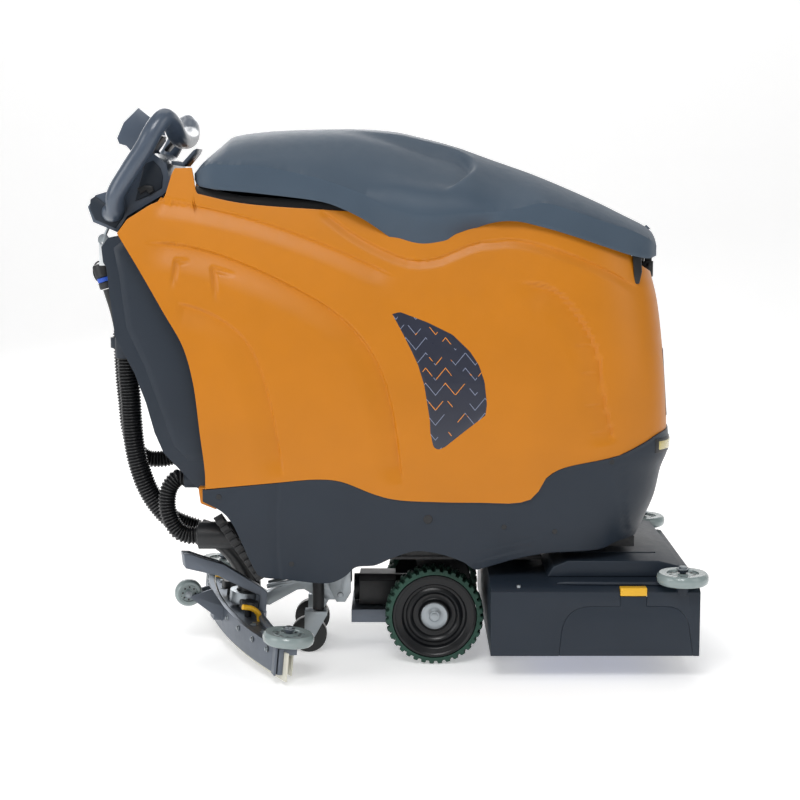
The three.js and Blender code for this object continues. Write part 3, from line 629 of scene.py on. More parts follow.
def tank_relief(x, z):
    """How far the side stands out, in millimetres, at a place on it."""
    out = 0.0
    for path, height, fade in LEDGES:
        d, along = distance_to(path, x, z)
        ends = smooth(along / 0.1) * smooth((1 - along) / 0.06)
        if d < 0:
            out -= height * ends * smooth(-d / 4) * (1 - smooth(-d / fade))
    for low, peak, tail in NOTCHES:
        d1, along1 = distance_to((low, peak), x, z)
        d2, along2 = distance_to((peak, tail), x, z)
        stem = (1 - smooth(abs(d1) / 9)) * smooth(along1 / 0.7)
        hook = (1 - smooth(abs(d2) / 8)) * (1 - along2)
        out -= NOTCH_DEPTH * max(stem, hook)
    for tx, tz in TICKS:
        level = 1 - smooth(abs(z - tz) / TICK_HALF_HEIGHT)
        out -= TICK_DEPTH * level * (1 - smooth((abs(x - tx) - TICK_HALF_LENGTH) / 3))
    return out


def side_y(x, z, half, nose):
    """Half width of the rounded plan outline at a place along the machine."""
    across = min(max((x - CHEEK) / (nose(z) - CHEEK), 0), 1)
    return half(z) * (1 - across ** 4) ** 0.25


def shell(columns, rows, half, nose, relief, place):
    """Grid of outer points from the right rear, round the nose, to the left rear."""
    side = []
    straight, turned = columns
    for c in range(straight + turned + 1):
        line = []
        for r in range(rows + 1):
            v = r / rows
            if c <= straight:
                x, z = place(c / straight, v, None)
                y = half(z)
            else:
                t = (1 - (c - straight) / turned) * math.pi / 2
                z = 600.0  # a first guess, which settles as x and z are worked out in turn
                for _ in range(4):
                    x = CHEEK + (nose(z) - CHEEK) * math.sqrt(max(math.cos(t), 0))
                    z = place(1.0, v, x)[1]
                y = half(z) * math.sqrt(max(math.sin(t), 0))
            push = relief(x, z) * min(y / half(z) * RELIEF_FADE, 1)
            line.append(Vector((x, -(y + push), z)))
        side.append(line)
    mirror = [[Vector((p.x, -p.y, p.z)) for p in line] for line in side[:-1]][::-1]
    return side + mirror


def skin(name, grid, thickness, material, slot, node, lip):
    obj = Form().grid(grid).piece(name, material, "machine", slot, (node,), sharp=60)
    obj.modifiers.clear()
    thicken(obj, thickness, lip, 60)


TOP_STEPS, REAR_STEPS = 400, 200
TOP_PATH = even(
    [(x, z, 0) for x, z in REAR_CORNER]
    + [(x, RIM_HEIGHT(x), 0) for x in range(-365, int(CHEEK) + 1, 5)], TOP_STEPS)
REAR_PATH = even(catmull([(x, z, 0) for x, z in REAR_EDGE], 80), REAR_STEPS)

# The ear against the lid's rear end: its level top, and where and over what length it rises and drops.
EAR_TOP = 1002.0
EAR_RISE, EAR_DROP = (-434, 26), (-378, 10)
RIM_AT_EAR = curve_table(REAR_CORNER)


def tank_place(s, v, round_x):
    """Place on the tank's side: s runs from the rear edge to the cheek, v from bottom to top.

    On the rounded nose, round_x is given and says how far forward the place is.
    """
    if round_x is not None:
        return round_x, lerp(SPLIT(round_x), RIM_HEIGHT(round_x), v)
    bottom = Vector((lerp(TANK_REAR, CHEEK, s), 0, 0))
    bottom.y = SPLIT(bottom.x)
    top = TOP_PATH[min(int(s * TOP_STEPS + 0.5), TOP_STEPS)]
    straight = bottom.lerp(top, v)
    rear = REAR_PATH[min(int(v * REAR_STEPS + 0.5), REAR_STEPS)]
    first = Vector((TANK_REAR, SPLIT(TANK_REAR), 0)).lerp(TOP_PATH[0], v)
    pulled = straight + (rear - first) * (1 - s) ** 3
    rise, drop = (smooth((pulled.x - start) / run) for start, run in (EAR_RISE, EAR_DROP))
    lift = (EAR_TOP - RIM_AT_EAR(pulled.x)) * rise * (1 - drop)
    return pulled.x, pulled.y + lift * smooth((v - 0.8) / 0.2)


HINGE_HALF, HINGE_FROM, HINGE_FLOOR = 84, 500, 772


def notch_top(x, y, z):
    """Lowers the rim where the lid's hinge passes it."""
    if abs(y) < HINGE_HALF and x > HINGE_FROM:
        return min(z, HINGE_FLOOR)
    return z


tank_grid = shell((300, 70), 200, TANK_HALF, TANK_NOSE, tank_relief, tank_place)
for line in tank_grid:
    for p in line:
        p.z = notch_top(p.x, p.y, p.z)
skin("tank_shell", tank_grid, 7.5, ORANGE, "orange_plastic", "solution_tank", 1.6)

COWL_LOW = curve_table([
    (COWL_REAR, 352), (-324, 330), (-305, 306), (-286, 262), (-267, 216), (-255, 196), (-202, 188),
    (-113, 181),
    (-83, 196), (-64, 214), (-24, 219), (9, 234), (55, 249), (104, 243), (150, 226), (177, 209), (222, 224),
    (310, 244), (428, 250), (460, 262), (640, 262)])
COWL_LEDGES = [
    (soft_path([(289, 395), (287, 330), (281, 276), (240, 240), (185, 208)]), 3.0, 26),
    (soft_path([(-210, 389), (-214, 290), (-212, 190)]), 2.0, 22),
    (soft_path([(457, 455), (466, 400), (470, 344), (480, 290)]), 2.4, 16),
]


def cowl_relief(x, z):
    """The cowl's side lies 1.6 mm in, and swells to full width at its upper edge."""
    out = 0.0
    for path, height, fade in COWL_LEDGES:
        d, _ = distance_to(path, x, z)
        if d < 0:
            out -= height * smooth(-d / 3) * (1 - smooth(-d / fade))
    lip = SPLIT(x) - z
    out += 1.6 * (1 - smooth(lip / 7)) - 1.6
    return out


def cowl_place(s, v, round_x):
    """Place on the cowl's side, as tank_place has it, just short of the split line."""
    x = lerp(COWL_REAR, CHEEK, s) if round_x is None else round_x
    return x, lerp(COWL_LOW(x), SPLIT(x) - 0.6, v)


cowl_grid = shell((150, 40), 60, COWL_HALF, COWL_NOSE, cowl_relief, cowl_place)
skin("cowl_shell", cowl_grid, 5.5, SLATE, "slate_plastic", "base_cowl", 1.2)

# ---- lid
LID_TOP = curve_table([
    (-374, 1000), (-366, 1014), (-342, 1037), (-322, 1056), (-314, 1063), (-304, 1067), (-244, 1075),
    (-123, 1080), (-54, 1080), (13, 1075), (65, 1064), (140, 1044), (207, 1020), (300, 987), (424, 934),
    (477, 908), (520, 887), (535, 877)])
LID_CREASE = curve_table([
    (-374, 990), (-342, 1008), (-314, 1007), (-244, 1004), (-123, 979), (-54, 955), (13, 926), (65, 914),
    (140, 916), (207, 918), (250, 924), (300, 934), (355, 920), (424, 897), (477, 880), (515, 862),
    (535, 848)])
LID_LOW = curve_table([
    (-374, 978), (-366, 968), (-342, 962), (-244, 952), (-123, 936), (-90, 925), (-54, 908), (-20, 888),
    (13, 871), (65, 858), (110, 864), (140, 874), (207, 897), (250, 899), (300, 888), (355, 872), (424, 849),
    (477, 832), (515, 825), (535, 828)])
LID_HALF = curve_table([
    (-374, 215), (-366, 234), (-342, 250), (-314, 255), (-244, 258), (-123, 263), (-54, 268), (13, 272),
    (65, 275), (140, 273), (207, 267), (300, 260), (355, 257), (424, 248), (477, 228), (515, 194),
    (535, 150)])
LID_ENDS = (-374.0, 535.0)
LID_SKIN, LID_LIP = 8.0, 2.2
DISH_DEPTH, DISH_FRONT = 20.0, 176
DISH_MIDDLE, DISH_HALF = 172, 92  # the hollow's middle and half width, across the lid
SKIRT_ROWS, TOP_ROWS = 12, 40


def lid_dish(x, y):
    """The hollow in each side of the top, with a crisp curved edge at its front."""
    side = abs(y)
    front = DISH_FRONT - 40 * ((side - 165) / 80) ** 2
    ahead, across = front - x, 1 - ((side - DISH_MIDDLE) / DISH_HALF) ** 2
    if ahead <= 0 or across <= 0:
        return 0.0
    return DISH_DEPTH * smooth(ahead / 20) * (1 - smooth((ahead - 60) / 210)) * smooth(across / 0.8)


def lid_section(x):
    """Points of one cross-section, from the right lower edge over the top to the left."""
    top, crease, low, half = LID_TOP(x), LID_CREASE(x), LID_LOW(x), LID_HALF(x)
    drop = max(top - crease, 2)
    # Over the low lobe the skirt has no crease: the side rolls up into the top in one curve.
    rolled = smooth((x + 62) / 95) * (1 - smooth((x - 150) / 85))
    side = []
    for i in range(SKIRT_ROWS + 1):
        v = i / SKIRT_ROWS
        # The skirt leans in slightly and rolls under at its lower edge.
        roll = (1 - smooth(v / 0.12)) * 2.5 + 1.4 * math.sin(math.pi * v)
        under = rolled * 30 * (1 - v) ** 1.5
        side.append((half - roll * (1 - rolled) - under, lerp(low, crease, v)))
    shoulder = half * lerp(0.985, 0.998, rolled)
    for i in range(1, TOP_ROWS + 1):
        w = 1 - (i / TOP_ROWS) ** lerp(0.85, 1.25, rolled)
        sharp_fall = 1 - (1 - w ** 2.6) ** 0.8
        # The rolled side starts upright, as the skirt below it ends, so that no edge shows.
        soft_fall = 1 - (1 - w ** 2.2) ** 0.56
        side.append((shoulder * w, top - drop * lerp(sharp_fall, soft_fall, rolled)))
    right = [Vector((x, -y, z - lid_dish(x, y))) for y, z in side]
    return right + [Vector((p.x, -p.y, p.z)) for p in right[:-1]][::-1]


def lid_stations():
    """Where the lid is cut across, more closely at its ends."""
    rear, nose = LID_ENDS
    middle = [lerp(rear, nose, i / 200) for i in range(201)]
    extra = [place for d in (1, 2.5, 5) for place in (rear + d, nose - d)]
    return sorted(set(middle + extra))


def lid_shell():
    outer = [lid_section(x) for x in lid_stations()]
    form = Form().grid(outer)
    # End walls close the rear and the nose down to the lower edge.
    for section, flip in ((outer[0], False), (outer[-1], True)):
        half = len(section) // 2
        rows = []
        for k in range(half + 1):
            a, b = section[k], section[-1 - k]
            rows.append([a.lerp(b, i / 24) for i in range(25)])
        form.grid(rows[::-1] if flip else rows)
    obj = form.piece("lid_shell", LID_GREY, "lid", "lid_plastic", ("lid",), sharp=60)
    obj.modifiers.clear()
    obj.modifiers.new("weld", "NODES").node_group = WELD
    thicken(obj, LID_SKIN, LID_LIP, 40)


lid_shell()
lugs = Form().block_pair(525, 539, 50, 62, 801, 840)
lugs.piece("lid_lugs", BLACK, "lid", "lid_plastic", bevel=1.5)

# ---- handle, pod and console
GRIP_ROUTE = [
    (-546, -151, 914), (-546, -161, 914), (-534, -183, 918), (-530, -199, 948), (-500, -205, 998),
    (-472, -205, 1040), (-451, -201, 1078), (-435, -186, 1098), (-425, -158, 1090), (-420, -116, 1069),
    (-420, 0, 1059)]
GRIP_LINE = GRIP_ROUTE + [(x, -y, z) for x, y, z in GRIP_ROUTE[:-1]][::-1]


def grip_width(t):
    """The grip's radius, a little less where its ends enter the console."""
    near = min(t, 1 - t)
    return 19.0 - 1.5 * (1 - smooth(near / 0.03))


Form().tube(GRIP_LINE, grip_width, 36, steps=220).piece(
    "grip_loop", GRIP, "machine", "grip_plastic", ("handlebar",), sharp=60)

# The pod's sloping face: the way it looks, the way up it, and its middle.
FACE = Vector((-0.695, 0, 0.719))
ALONG = Vector((0.719, 0, 0.695))
FACE_MID = Vector((-516, 0, 1106.5))


def face_plate(form, y0, y1, a0, a1, lift, sink):
    """A thin plate on the pod's sloping face."""
    corners = []
    for depth in (-sink, lift):
        for a, y in ((a0, y0), (a1, y0), (a1, y1), (a0, y1)):
            p = FACE_MID + ALONG * a + FACE * depth
            corners.append((p.x, y, p.z))
    form.add(corners, BOX_FACES)


screen = Form()
face_plate(screen, -66, -32, -12, 12, 0.8, 0.5)
face_plate(screen, 32, 66, -12, 12, 0.8, 0.5)
screen.piece("pod_screens", GLASS, "machine", "black_plastic", bevel=0.6)

# ---- wheels
WHEEL_X, WHEEL_Z = 95.0, 100.0
WHEEL_INNER, WHEEL_OUTER = 125.0, 180.0  # the wheel's faces, from the machine's middle
TYRE_BORE = 86.2
LUGS = 36
TREAD_COLUMNS = 15
GROOVE_EDGE, GROOVE_MIDDLE = 92.5, 94.0  # radius between the lugs, at the tyre's faces and its middle
LUG_EDGE, LUG_MIDDLE = 5.0, 6.0  # height of the lugs there


def lug_tyre(side, s):
    """A tyre with slanting lugs in two rows, out of step with each other."""
    sides = LUGS * 12
    angles = [2 * math.pi * i / sides for i in range(sides)]
    rows = []
    for j in range(TREAD_COLUMNS + 1):
        v = j / TREAD_COLUMNS
        y = s * lerp(WHEEL_INNER, WHEEL_OUTER, v)
        shoulder = smooth(min(v, 1 - v) / 0.14)
        row = []
        for t in angles:
            slant = t * LUGS + (math.pi * 0.9 if v > 0.5 else 0) + 2.2 * abs(v - 0.5)
            lug = smooth((math.sin(slant) + 0.35) / 0.45)
            r = lerp(GROOVE_EDGE + LUG_EDGE * lug, GROOVE_MIDDLE + LUG_MIDDLE * lug, shoulder)
            row.append((WHEEL_X + r * math.cos(t), y, WHEEL_Z + r * math.sin(t)))
        rows.append(row)
    for y in (WHEEL_OUTER, WHEEL_INNER):
        rows.append([
            (WHEEL_X + TYRE_BORE * math.cos(t), s * y, WHEEL_Z + TYRE_BORE * math.sin(t)) for t in angles])
    Form().grid(rows, round_rows=True, round_cols=True).piece(
        f"tread_{side}", TYRE, f"drive_wheel_{side}", "tyre_rubber", (f"drive_tyre_{side}",))


def disc_hub(side, s):
    """A dished disc with an axle into the machine, and a zinc cap with a bolt in its middle."""
    axis = (0, s, 0)
    hub = (WHEEL_X, s * WHEEL_INNER, WHEEL_Z)
    form = Form().lathe([
        (0.0, 40), (0, 0), (84, 0), (85.6, 2), (85.6, 52), (84, 54.6), (80, 55), (77, 52.6), (68, 52.4),
        (65, 50), (62.5, 43), (58, 41.5), (54, 44.5), (50, 45.5), (47, 44), (43, 39.5), (37, 39), (33, 41),
        (31, 46), (29, 49), (12, 49), (10, 48), (0.0, 48), (0.0, 40)], hub, axis, 96)
    form.lathe([(0, -36), (9.6, -36), (9.6, 2), (0, 2), (0, -36)], hub, axis, 24)
    form.piece(f"disc_{side}", DISC, f"drive_wheel_{side}", "black_plastic", (f"drive_hub_{side}",))
    cap = Form().lathe([
        (0, 0), (26, 0), (27.5, 1), (26, 2.4), (22, 1.2), (14, 1.2), (12, 2.8), (0, 2.8), (0, 0)],
        (WHEEL_X, s * 174, WHEEL_Z), axis, 56)
    cap.bolt((WHEEL_X, s * 176.2, WHEEL_Z), axis, 7.5, 3.4)
    cap.piece(f"axle_cap_{side}", ZINC, f"drive_wheel_{side}", "zinc_steel")


for side, s in SIDES:
    lug_tyre(side, s)
    disc_hub(side, s)

# The squeegee's own frame: square to the machine about its swivel, then turned and raised.
LIFT_AT, LIFT_ANGLE = Vector((-100, 0, 115)), math.radians(5)
SWING_X, SWING_ANGLE = -295.0, math.radians(17.5)
ARM_PLACE = Matrix.Translation(LIFT_AT) @ Matrix.Rotation(LIFT_ANGLE, 4, "Y") @ Matrix.Translation(-LIFT_AT)
HEAD_PLACE = ARM_PLACE @ Matrix.Translation((SWING_X, 0, 0)) @ Matrix.Rotation(SWING_ANGLE, 4, "Z")


def bumper(name, body, centre, radius, thickness, bore, axis, place=None, holes=10):
    """A moulded wheel with a spoked hub; the ring of holes shows the bearing."""
    h = thickness / 2
    tyre = Form().lathe([
        (radius * 0.62, -h + 1), (radius * 0.8, -h), (radius - 5, -h), (radius - 1.4, -h + 3.4), (radius, -2),
        (radius, 2), (radius - 1.4, h - 3.4), (radius - 5, h), (radius * 0.8, h), (radius * 0.62, h - 1),
        (radius * 0.6, h - 4), (radius * 0.6, -h + 4), (radius * 0.62, -h + 1)], centre, axis, 64)
    tyre.piece(name + "_tyre", CLEAR, body, "clear_tyre", (name,), place=place)
    core = Form().lathe([
        (bore, -h + 2), (bore + 5, -h + 1.4), (radius * 0.33, -h + 3.6), (radius * 0.59, -h + 3.6),
        (radius * 0.59, h - 3.6), (radius * 0.33, h - 3.6), (bore + 5, h - 1.4), (bore, h - 2),
        (bore, -h + 2)], centre, axis, 56)
    core.piece(name + "_core", CLEAR, body, "clear_tyre", place=place)
    dots = Form()
    turn = axis_frame(axis)
    for k in range(holes):
        t = 2 * math.pi * k / holes
        spot = Vector(centre) + turn @ Vector((radius * 0.46 * math.cos(t), radius * 0.46 * math.sin(t), 0))
        reach = turn @ Vector((0, 0, h - 3.2))
        dots.rod(spot - reach, spot + reach, radius * 0.07, 14)
    dots.piece(name + "_sockets", RUBBER, body, "black_rubber", place=place)


def on_side(place, s):
    x, y, z = place
    return x, s * y, z


ROLLER = (50.8, 22, 6.6)  # radius, thickness and bore
TAIL_ROLLER, DECK_ROLLER = (10, 313, 79.5), (578, 290, 206)
TAIL_BOLT, DECK_BOLT = (10, 313, 97.5), (578, 290, 224)
for side, s in SIDES:
    body = f"squeegee_roller_{side}"
    bumper(body, body, on_side(TAIL_ROLLER, s), *ROLLER, (0, 0, 1), HEAD_PLACE)
    body = f"deck_roller_{side}"
    bumper(body, body, on_side(DECK_ROLLER, s), *ROLLER, (0, 0, 1))
bumper("rear_stop_wheel", "rear_stop_wheel", (-130, 0, 88), 29, 22, 4.5, (0, 1, 0), HEAD_PLACE, 8)

# ---- drain cap
CAP_LOW, CAP_HIGH = Vector((-583.2, 20, 752.6)), Vector((-599, 20, 806))
cap_axis = (CAP_HIGH - CAP_LOW).normalized()
cap_long = (CAP_HIGH - CAP_LOW).length
Form().lathe([
    (0, 1), (17, 1), (19, 3), (19, 14), (17.6, 15.5), (17.6, 25.5), (20.6, 27), (20.6, cap_long - 6),
    (18.6, cap_long - 2), (14, cap_long - 0.6), (0, cap_long - 0.6), (0, 1)], CAP_LOW, cap_axis, 48,
    wave=lambda t, r, h: -0.7 * (0.5 + 0.5 * math.cos(24 * t)) if r > 20 else 0.0,
).piece("cap_body", BLACK, "drain_cap", "black_plastic", ("drain_cap",))
Form().lathe([
    (17.7, 15.8), (18.9, 16.4), (18.9, 24.6), (17.7, 25.2), (17.7, 15.8)], CAP_LOW, cap_axis, 48,
).piece("cap_band", BLUE, "drain_cap", "black_plastic")

# ---- rear tank's side fields
FIELD_OUTER = [(-536, 846), (-527, 800), (-514, 690), (-478, 610), (-440, 500), (-424, 455), (-396, 425),
               (-360, 425), (-360, 800), (-420, 905), (-468, 900)]
FIELD_INNER = [(-520, 838), (-512, 800), (-499, 694), (-464, 614), (-428, 512), (-414, 470), (-394, 445),
               (-360, 445), (-360, 800), (-424, 885), (-468, 880)]
for side, s in SIDES:
    levels = ((FIELD_OUTER, 204.6), (FIELD_OUTER, 205.6), (FIELD_INNER, 210.5))
    rows = [[(x, s * y, z) for x, z in loop] for loop, y in levels]
    Form().grid(rows, round_cols=True, caps=True).piece(
        f"tank_side_field_{side}", SLATE, "machine", "slate_plastic", bevel=2.5)

# ---- pattern panel on each side
PANEL_EDGE = [(10, 721), (25, 725), (78, 705), (127, 681), (161, 648), (178, 622), (189, 590), (194, 545),
              (191, 524), (177, 513), (145, 488), (113, 462), (99, 456), (90, 462), (84, 490), (83, 515),
              (72, 583), (60, 622), (48, 648), (30, 684)]
PANEL_MIDDLE = (115.0, 590.0)
PANEL_RINGS, PANEL_LIFT = 14, 0.5


def pattern_panel(side, s):
    """A label that follows the tank's side, a little proud of it."""
    edge = [(p.x, p.y) for p in even([(x, z, 0) for x, z in PANEL_EDGE + PANEL_EDGE[:1]], 120)][:-1]
    rows = []
    for k in range(PANEL_RINGS + 1):
        out_from_middle = 1 - k / PANEL_RINGS * 0.985
        lift = PANEL_LIFT if k else 0.1
        row = []
        for x, z in edge:
            px = lerp(PANEL_MIDDLE[0], x, out_from_middle)
            pz = lerp(PANEL_MIDDLE[1], z, out_from_middle)
            y = side_y(px, pz, TANK_HALF, TANK_NOSE) + tank_relief(px, pz) + lift
            row.append((px, s * y, pz))
        rows.append(row)
    form = Form().grid(rows, round_cols=True)
    form.add([rows[-1][i] for i in range(len(rows[-1]))], [list(range(len(rows[-1])))])
    form.piece(f"pattern_panel_{side}", PANEL, "machine", "orange_plastic", sharp=60)


for side, s in SIDES:
    pattern_panel(side, s)

# ---- fittings on the body
def nose_x(y, z, half, nose):
    """How far forward the rounded plan outline reaches at a place across the machine."""
    return CHEEK + (nose(z) - CHEEK) * max(1 - (abs(y) / half(z)) ** 4, 0) ** 0.25


STRIP_STEPS, STRIP_DEPTH = 24, 4.0


def nose_strip(name, y_span, z_span, lift, material, curves, lean=0.0):
    """A plate that follows the nose, standing out by lift; lean raises its outer end."""
    half, nose = curves
    rows = []
    low, high = z_span
    for back, z_edge in ((0, low), (0, high), (STRIP_DEPTH, high), (STRIP_DEPTH, low)):
        row = []
        for i in range(STRIP_STEPS + 1):
            y = lerp(y_span[0], y_span[1], i / STRIP_STEPS)
            z = z_edge + lean * i / STRIP_STEPS
            row.append((nose_x(y, z, half, nose) + lift - back, y, z))
        rows.append(row)
    form = Form().grid(rows, round_rows=True)
    first = [r * (STRIP_STEPS + 1) for r in range(4)]
    form.faces += [first, [i + STRIP_STEPS for i in first][::-1]]
    form.piece(name, material, "machine", "black_plastic", bevel=1.0)


TANK = (TANK_HALF, TANK_NOSE)
COWL = (COWL_HALF, COWL_NOSE)
nose_strip("front_panel", (-140, 140), (506, 640), 1.2, BLACK, TANK)
for side, s in SIDES:
    nose_strip(f"headlight_bezel_{side}", (s * 62, s * 212), (434, 462), 1.6, BLACK, COWL, 6)
    nose_strip(f"headlight_lens_{side}", (s * 70, s * 204), (440, 457), 3.4, LENS, COWL, 6)

Form().slab_pair([(480, 836), (497, 834), (499, 800), (494, 776), (484, 776), (482, 800)], 196, 212).piece(
    "lid_straps", RUBBER, "lid", "black_rubber", bevel=2.0)

# A plate with a row of bars along the cowl's rear edge, one each side.
STRIP_BARS = 9
for side, s in SIDES:
    strip = Form()
    for k in range(STRIP_BARS):
        (x0, z0), (x1, z1) = (
            (lerp(-345, -262, end / STRIP_BARS), lerp(300, 178, end / STRIP_BARS)) for end in (k, k + 0.62))
        bar = [(x0, z0), (x1, z1), (x1 + 15, z1 + 9), (x0 + 15, z0 + 9)]
        strip.slab(bar, *sorted((s * 196, s * 202)))
    strip.slab([(-349, 306), (-262, 176), (-245, 186), (-332, 316)], *sorted((s * 193, s * 196.5)))
    strip.piece(f"edge_strip_{side}", BLACK, "machine", "black_plastic", bevel=0.8)

# The tank's foot, which shows behind the cowl's tail.
Form().slab_pair([(-372, 378), (-352, 378), (-330, 340), (-338, 334), (-368, 346)], 226, 250).piece(
    "tank_foot", ORANGE, "machine", "orange_plastic", bevel=2.5)

# Screws and one round plug on each side of the cowl.
marks = Form()
for _, s in SIDES:
    for x, z in ((-330, 362), (-190, 222), (330, 290), (440, 430), (230, 300)):
        y = side_y(x, z, COWL_HALF, COWL_NOSE)
        marks.rod((x, s * (y - 6), z), (x, s * (y - 0.2), z), 5.2, 20)
    y = side_y(80, 316, COWL_HALF, COWL_NOSE)
    marks.rod((80, s * (y - 8), 316), (80, s * (y + 0.3), 316), 9.0, 28)
marks.piece("cowl_screws", BLACK, "machine", "black_plastic")

# ---- fittings on the controls
loop = Form()
loop.tube([
    (-590, 20, 800), (-604, 20, 808), (-613, 20, 800), (-615, 20, 784), (-609, 20, 770), (-599, 20, 764),
    (-588, 20, 768)], 1.7, 12, steps=60)
loop.piece("cap_loop", RUBBER, "drain_cap", "black_rubber", sharp=60)

TRIM_REAR = [(-590, 922), (-580, 900), (-540, 882), (-522, 906), (-535, 912), (-578, 946), (-588, 940)]
TRIM_FRONT = [(-500, 936), (-470, 948), (-446, 962), (-444, 985), (-448, 1000), (-462, 1016), (-480, 1010)]
CLIP = [(-488, 950), (-476, 958), (-470, 950), (-460, 956), (-464, 966), (-478, 968), (-494, 962)]
CONSOLE_SIDE, TRIM_OUT, CLIP_OUT = 150.2, 153, 160
Form().slab_pair(TRIM_REAR, CONSOLE_SIDE, TRIM_OUT).slab_pair(TRIM_FRONT, CONSOLE_SIDE, TRIM_OUT).piece(
    "console_side_trim", SLATE, "machine", "grip_plastic", bevel=2.0)
Form().slab_pair(CLIP, TRIM_OUT, CLIP_OUT).piece(
    "console_clips", BLACK, "machine", "black_plastic", bevel=1.5)
stalk = Form()
for y in (-52, 52):
    stalk.rod((-496, y, 1040), (-470, y, 985), 15, 28)
stalk.piece("pod_stalks", GRIP, "machine", "grip_plastic")
ring = Form().tube([
    (-575 + 8 * math.cos(t), -100.1 + 2.2 * math.sin(2 * t), 856 + 8 * math.sin(t))
    for t in (2 * math.pi * k / 40 for k in range(41))], 0.9, 10)
ring.piece("key_ring", ZINC, "ignition_key", "zinc_steel", sharp=60)

# ---- fittings on the squeegee
BAND_HALF, BAND_SAG, BAND_TIP = 352.0, 48.0, -5.0
BAND_RADIUS = (BAND_HALF ** 2 + BAND_SAG ** 2) / (2 * BAND_SAG)


def arc_x(y):
    """The squeegee's plan arc."""
    return BAND_TIP - BAND_SAG + BAND_RADIUS - math.sqrt(BAND_RADIUS ** 2 - y * y)


end_x = arc_x(330)
caps = Form()
caps.slab_pair([(end_x - 10, 10), (end_x - 5.2, 10), (end_x - 5.2, 66), (end_x - 10, 66)], 318, 341)
caps.slab_pair([(end_x - 10, 65), (end_x + 22, 65), (end_x + 22, 69), (end_x - 10, 69)], 318, 341)
caps.piece("band_end_caps", CAST, "squeegee_head", "cast_aluminium", place=HEAD_PLACE, bevel=1.2)

ribs = Form()
for _, s in SIDES:
    spine = [(22, s * 46, 61), (4, s * 110, 68), (-2, s * 180, 70), (2, s * 250, 68), (14, s * 288, 62)]
    ribs.tube(spine, lambda t: 5.0 + 3.0 * math.sin(math.pi * t), 16, steps=50)
ribs.piece("wing_ridges", CAST, "squeegee_head", "cast_aluminium", place=HEAD_PLACE, sharp=60)

bolts = Form()
for _, s in SIDES:
    for y in (150, 205, 262):
        bolts.bolt((arc_x(y) + 24, s * y, 60), (0, 0, 1), 5, 5)
    bolts.bolt(on_side(TAIL_BOLT, s), (0, 0, 1), 8, 5)
    bolts.bolt((arc_x(0) - 80, s * 18.2, 88), (0, s, 0), 5, 4)
    for y in (60, 140, 220, 290):
        bolts.bolt((arc_x(y) - 5, s * y, 50), (-1, 0, 0), 4.4, 4)
bolts.piece("squeegee_bolts", ZINC, "squeegee_head", "zinc_steel", place=HEAD_PLACE)

levers = Form()
for _, s in SIDES:
    lever = [(-2, s * 120, 62), (-8, s * 128, 78), (-24, s * 134, 90), (-44, s * 138, 94)]
    levers.tube(lever, 5.5, 16, steps=24)
levers.piece("release_levers", YELLOW, "squeegee_head", "yellow_plastic", place=HEAD_PLACE, sharp=60)

ARM_SIDE = 46.4  # the tow arm's outer faces
arm_bits = Form()
for _, s in SIDES:
    arm_bits.bolt((LIFT_AT.x, s * ARM_SIDE, LIFT_AT.z), (0, s, 0), 9, 7)
    arm_bits.bolt((-150, s * ARM_SIDE, 128), (0, s, 0), 7, 5)
    arm_bits.rod((-188, s * 34, 134), (-256, s * 15, 110), 5, 18)
arm_bits.piece("arm_bolts", ZINC, "tow_arm", "zinc_steel", place=ARM_PLACE)

# ---- fittings on the brush deck
rim = Form()
for _, s in SIDES:
    rim.bolt(on_side(DECK_BOLT, s), (0, 0, 1), 8.5, 5)
    rim.rod((258, s * 280, 184), (258, s * 280, 189.6), 4.6, 20)
rim.piece("deck_bolts", ZINC, "deck", "zinc_steel")
# A long raised rib along each shoulder of the deck's top, and a thin one on its cover.
lines = Form()
for _, s in SIDES:
    lines.tube([(332, s * 262, 187.5), (350, s * 268, 190), (450, s * 271, 190), (560, s * 272, 189.5)],
               lambda t: 3.4 * smooth(t / 0.1) * smooth((1 - t) / 0.1) + 0.6, 14, steps=40)
lines.block_pair(352, 544, 146, 150, 225, 227.4)
lines.piece("deck_ribs", SLATE, "deck", "slate_plastic")

# ---- CAD nodes that stay
# Each node's material and the width of its bevels.
KEPT = {
    "recovery_tank": (SLATE, 3.2), "tank_seal": (RUBBER, 1.5), "lid_hinge": (BLACK, 0.8),
    "chassis_frame": (FRAME_PAINT, 0.8), "hitch_bracket": (ZINC, 0.8), "battery_pack": (CASE, 3.0),
    "vacuum_motor": (CAST, 1.5), "solution_pump": (BLACK, 1.5), "solution_filter": (BLACK, 2.0),
    "deck_actuator": (BLACK, 1.5), "transaxle": (CAST, 2.5), "drive_motor": (BLACK, 2.0),
    "console": (GRIP, 5.0), "display_pod": (GRIP, 4.0), "tool_tray": (GRIP, 1.2),
    "tow_arm": (ZINC, 1.0), "suction_elbow": (RUBBER, 0.8), "squeegee_band": (CAST, 1.2),
    "rear_blade": (BLADE, 0.6), "front_blade": (BLADE, 0.6), "squeegee_body": (CAST, 1.6),
    "squeegee_handle": (CAST, 2.0), "deck_housing": (SLATE, 2.2), "deck_cover": (SLATE, 5.0),
    "brush_motor": (CAST, 2.0), "brush_rear": (BRISTLE, 0.0), "brush_front": (BRISTLE, 0.0),
    "start_button": (YELLOW, 0.8), "suction_button": (BLACK, 0.8), "ignition_key": (ZINC, 0.5),
    "key_tag": (TAG, 0.5),
}
KEPT_PAIRS = {
    "castor_fork": (ZINC, 0.6), "castor_wheel": (RUBBER, 2.5), "squeegee_knob": (BLACK, 1.2),
    "side_panel": (SLATE, 1.4), "panel_latch": (YELLOW, 1.2), "drive_paddle": (BLACK, 1.6),
}
for node, look in KEPT_PAIRS.items():
    for side, _ in SIDES:
        KEPT[f"{node}_{side}"] = look
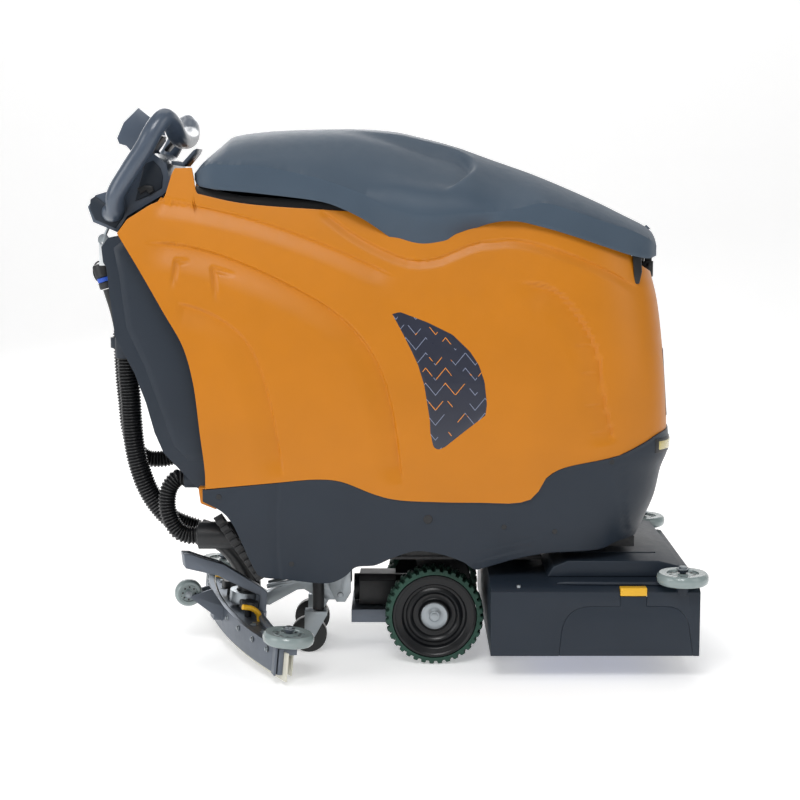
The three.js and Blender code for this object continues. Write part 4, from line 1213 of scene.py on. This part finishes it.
for node, (material, bevel) in KEPT.items():
    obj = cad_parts[node]
    for slot in obj.material_slots:
        slot.material = material
    finish_edges(obj, bevel=bevel)

# ---- floor and light
FLOOR_WIDE, FLOOR_NEAR, WALL_FAR, WALL_HIGH, SWEEP = 9.0, -9.0, 5.0, 6.0, 2.0  # metres
SWEEP_STEPS = 16
MIDDLE = Vector((0, 0, 0.55))  # what every light faces
FLOOR_PAINT = Paint("pale_floor", (250, 250, 250), 0.8, drift=0.003, Specular_IOR_Level=0.1,
                    Emission_Color=(1, 1, 1, 1), Emission_Strength=0.36).material


def backdrop():
    """A floor that sweeps up into a wall behind the machine."""
    profile = [(FLOOR_NEAR, 0.0), (WALL_FAR - SWEEP, 0.0)]
    for i in range(1, SWEEP_STEPS + 1):
        t = math.pi / 2 * i / SWEEP_STEPS
        profile.append((WALL_FAR - SWEEP + SWEEP * math.sin(t), SWEEP - SWEEP * math.cos(t)))
    profile.append((WALL_FAR, WALL_HIGH))
    verts = [Vector((x, y, z)) for y, z in profile for x in (-FLOOR_WIDE, FLOOR_WIDE)]
    faces = [[2 * i, 2 * i + 1, 2 * i + 3, 2 * i + 2] for i in range(len(profile) - 1)]
    mesh = bpy.data.meshes.new("backdrop")
    mesh.from_pydata(verts, [], faces)
    for polygon in mesh.polygons:
        polygon.use_smooth = True
    mesh.materials.append(FLOOR_PAINT)
    obj = bpy.data.objects.new("backdrop", mesh)
    bpy.context.scene.collection.objects.link(obj)


def softbox(name, place, size, power):
    """A soft area light that faces the machine."""
    data = bpy.data.lights.new(name, "AREA")
    data.shape = "RECTANGLE"
    data.size, data.size_y = size
    data.energy = power
    lamp = bpy.data.objects.new(name, data)
    lamp.location = place
    lamp.rotation_euler = (MIDDLE - Vector(place)).to_track_quat("-Z", "Y").to_euler()
    bpy.context.scene.collection.objects.link(lamp)


backdrop()
softbox("key", (-0.4, -3.0, 3.0), (1.6, 1.2), 58)
softbox("front", (3.2, -2.0, 1.8), (1.8, 2.2), 20)
softbox("behind", (-3.0, -1.6, 1.5), (1.8, 1.8), 30)
softbox("top", (0.0, 0.5, 3.6), (3.2, 2.2), 30)
softbox("far", (-0.8, 3.2, 2.2), (2.6, 1.6), 40)

world = bpy.data.worlds.new("studio")
world.use_nodes = True
world.node_tree.nodes["Background"].inputs["Color"].default_value = (1, 1, 1, 1)
world.node_tree.nodes["Background"].inputs["Strength"].default_value = 0.28
bpy.context.scene.world = world
bpy.context.scene.view_settings.view_transform = "Standard"
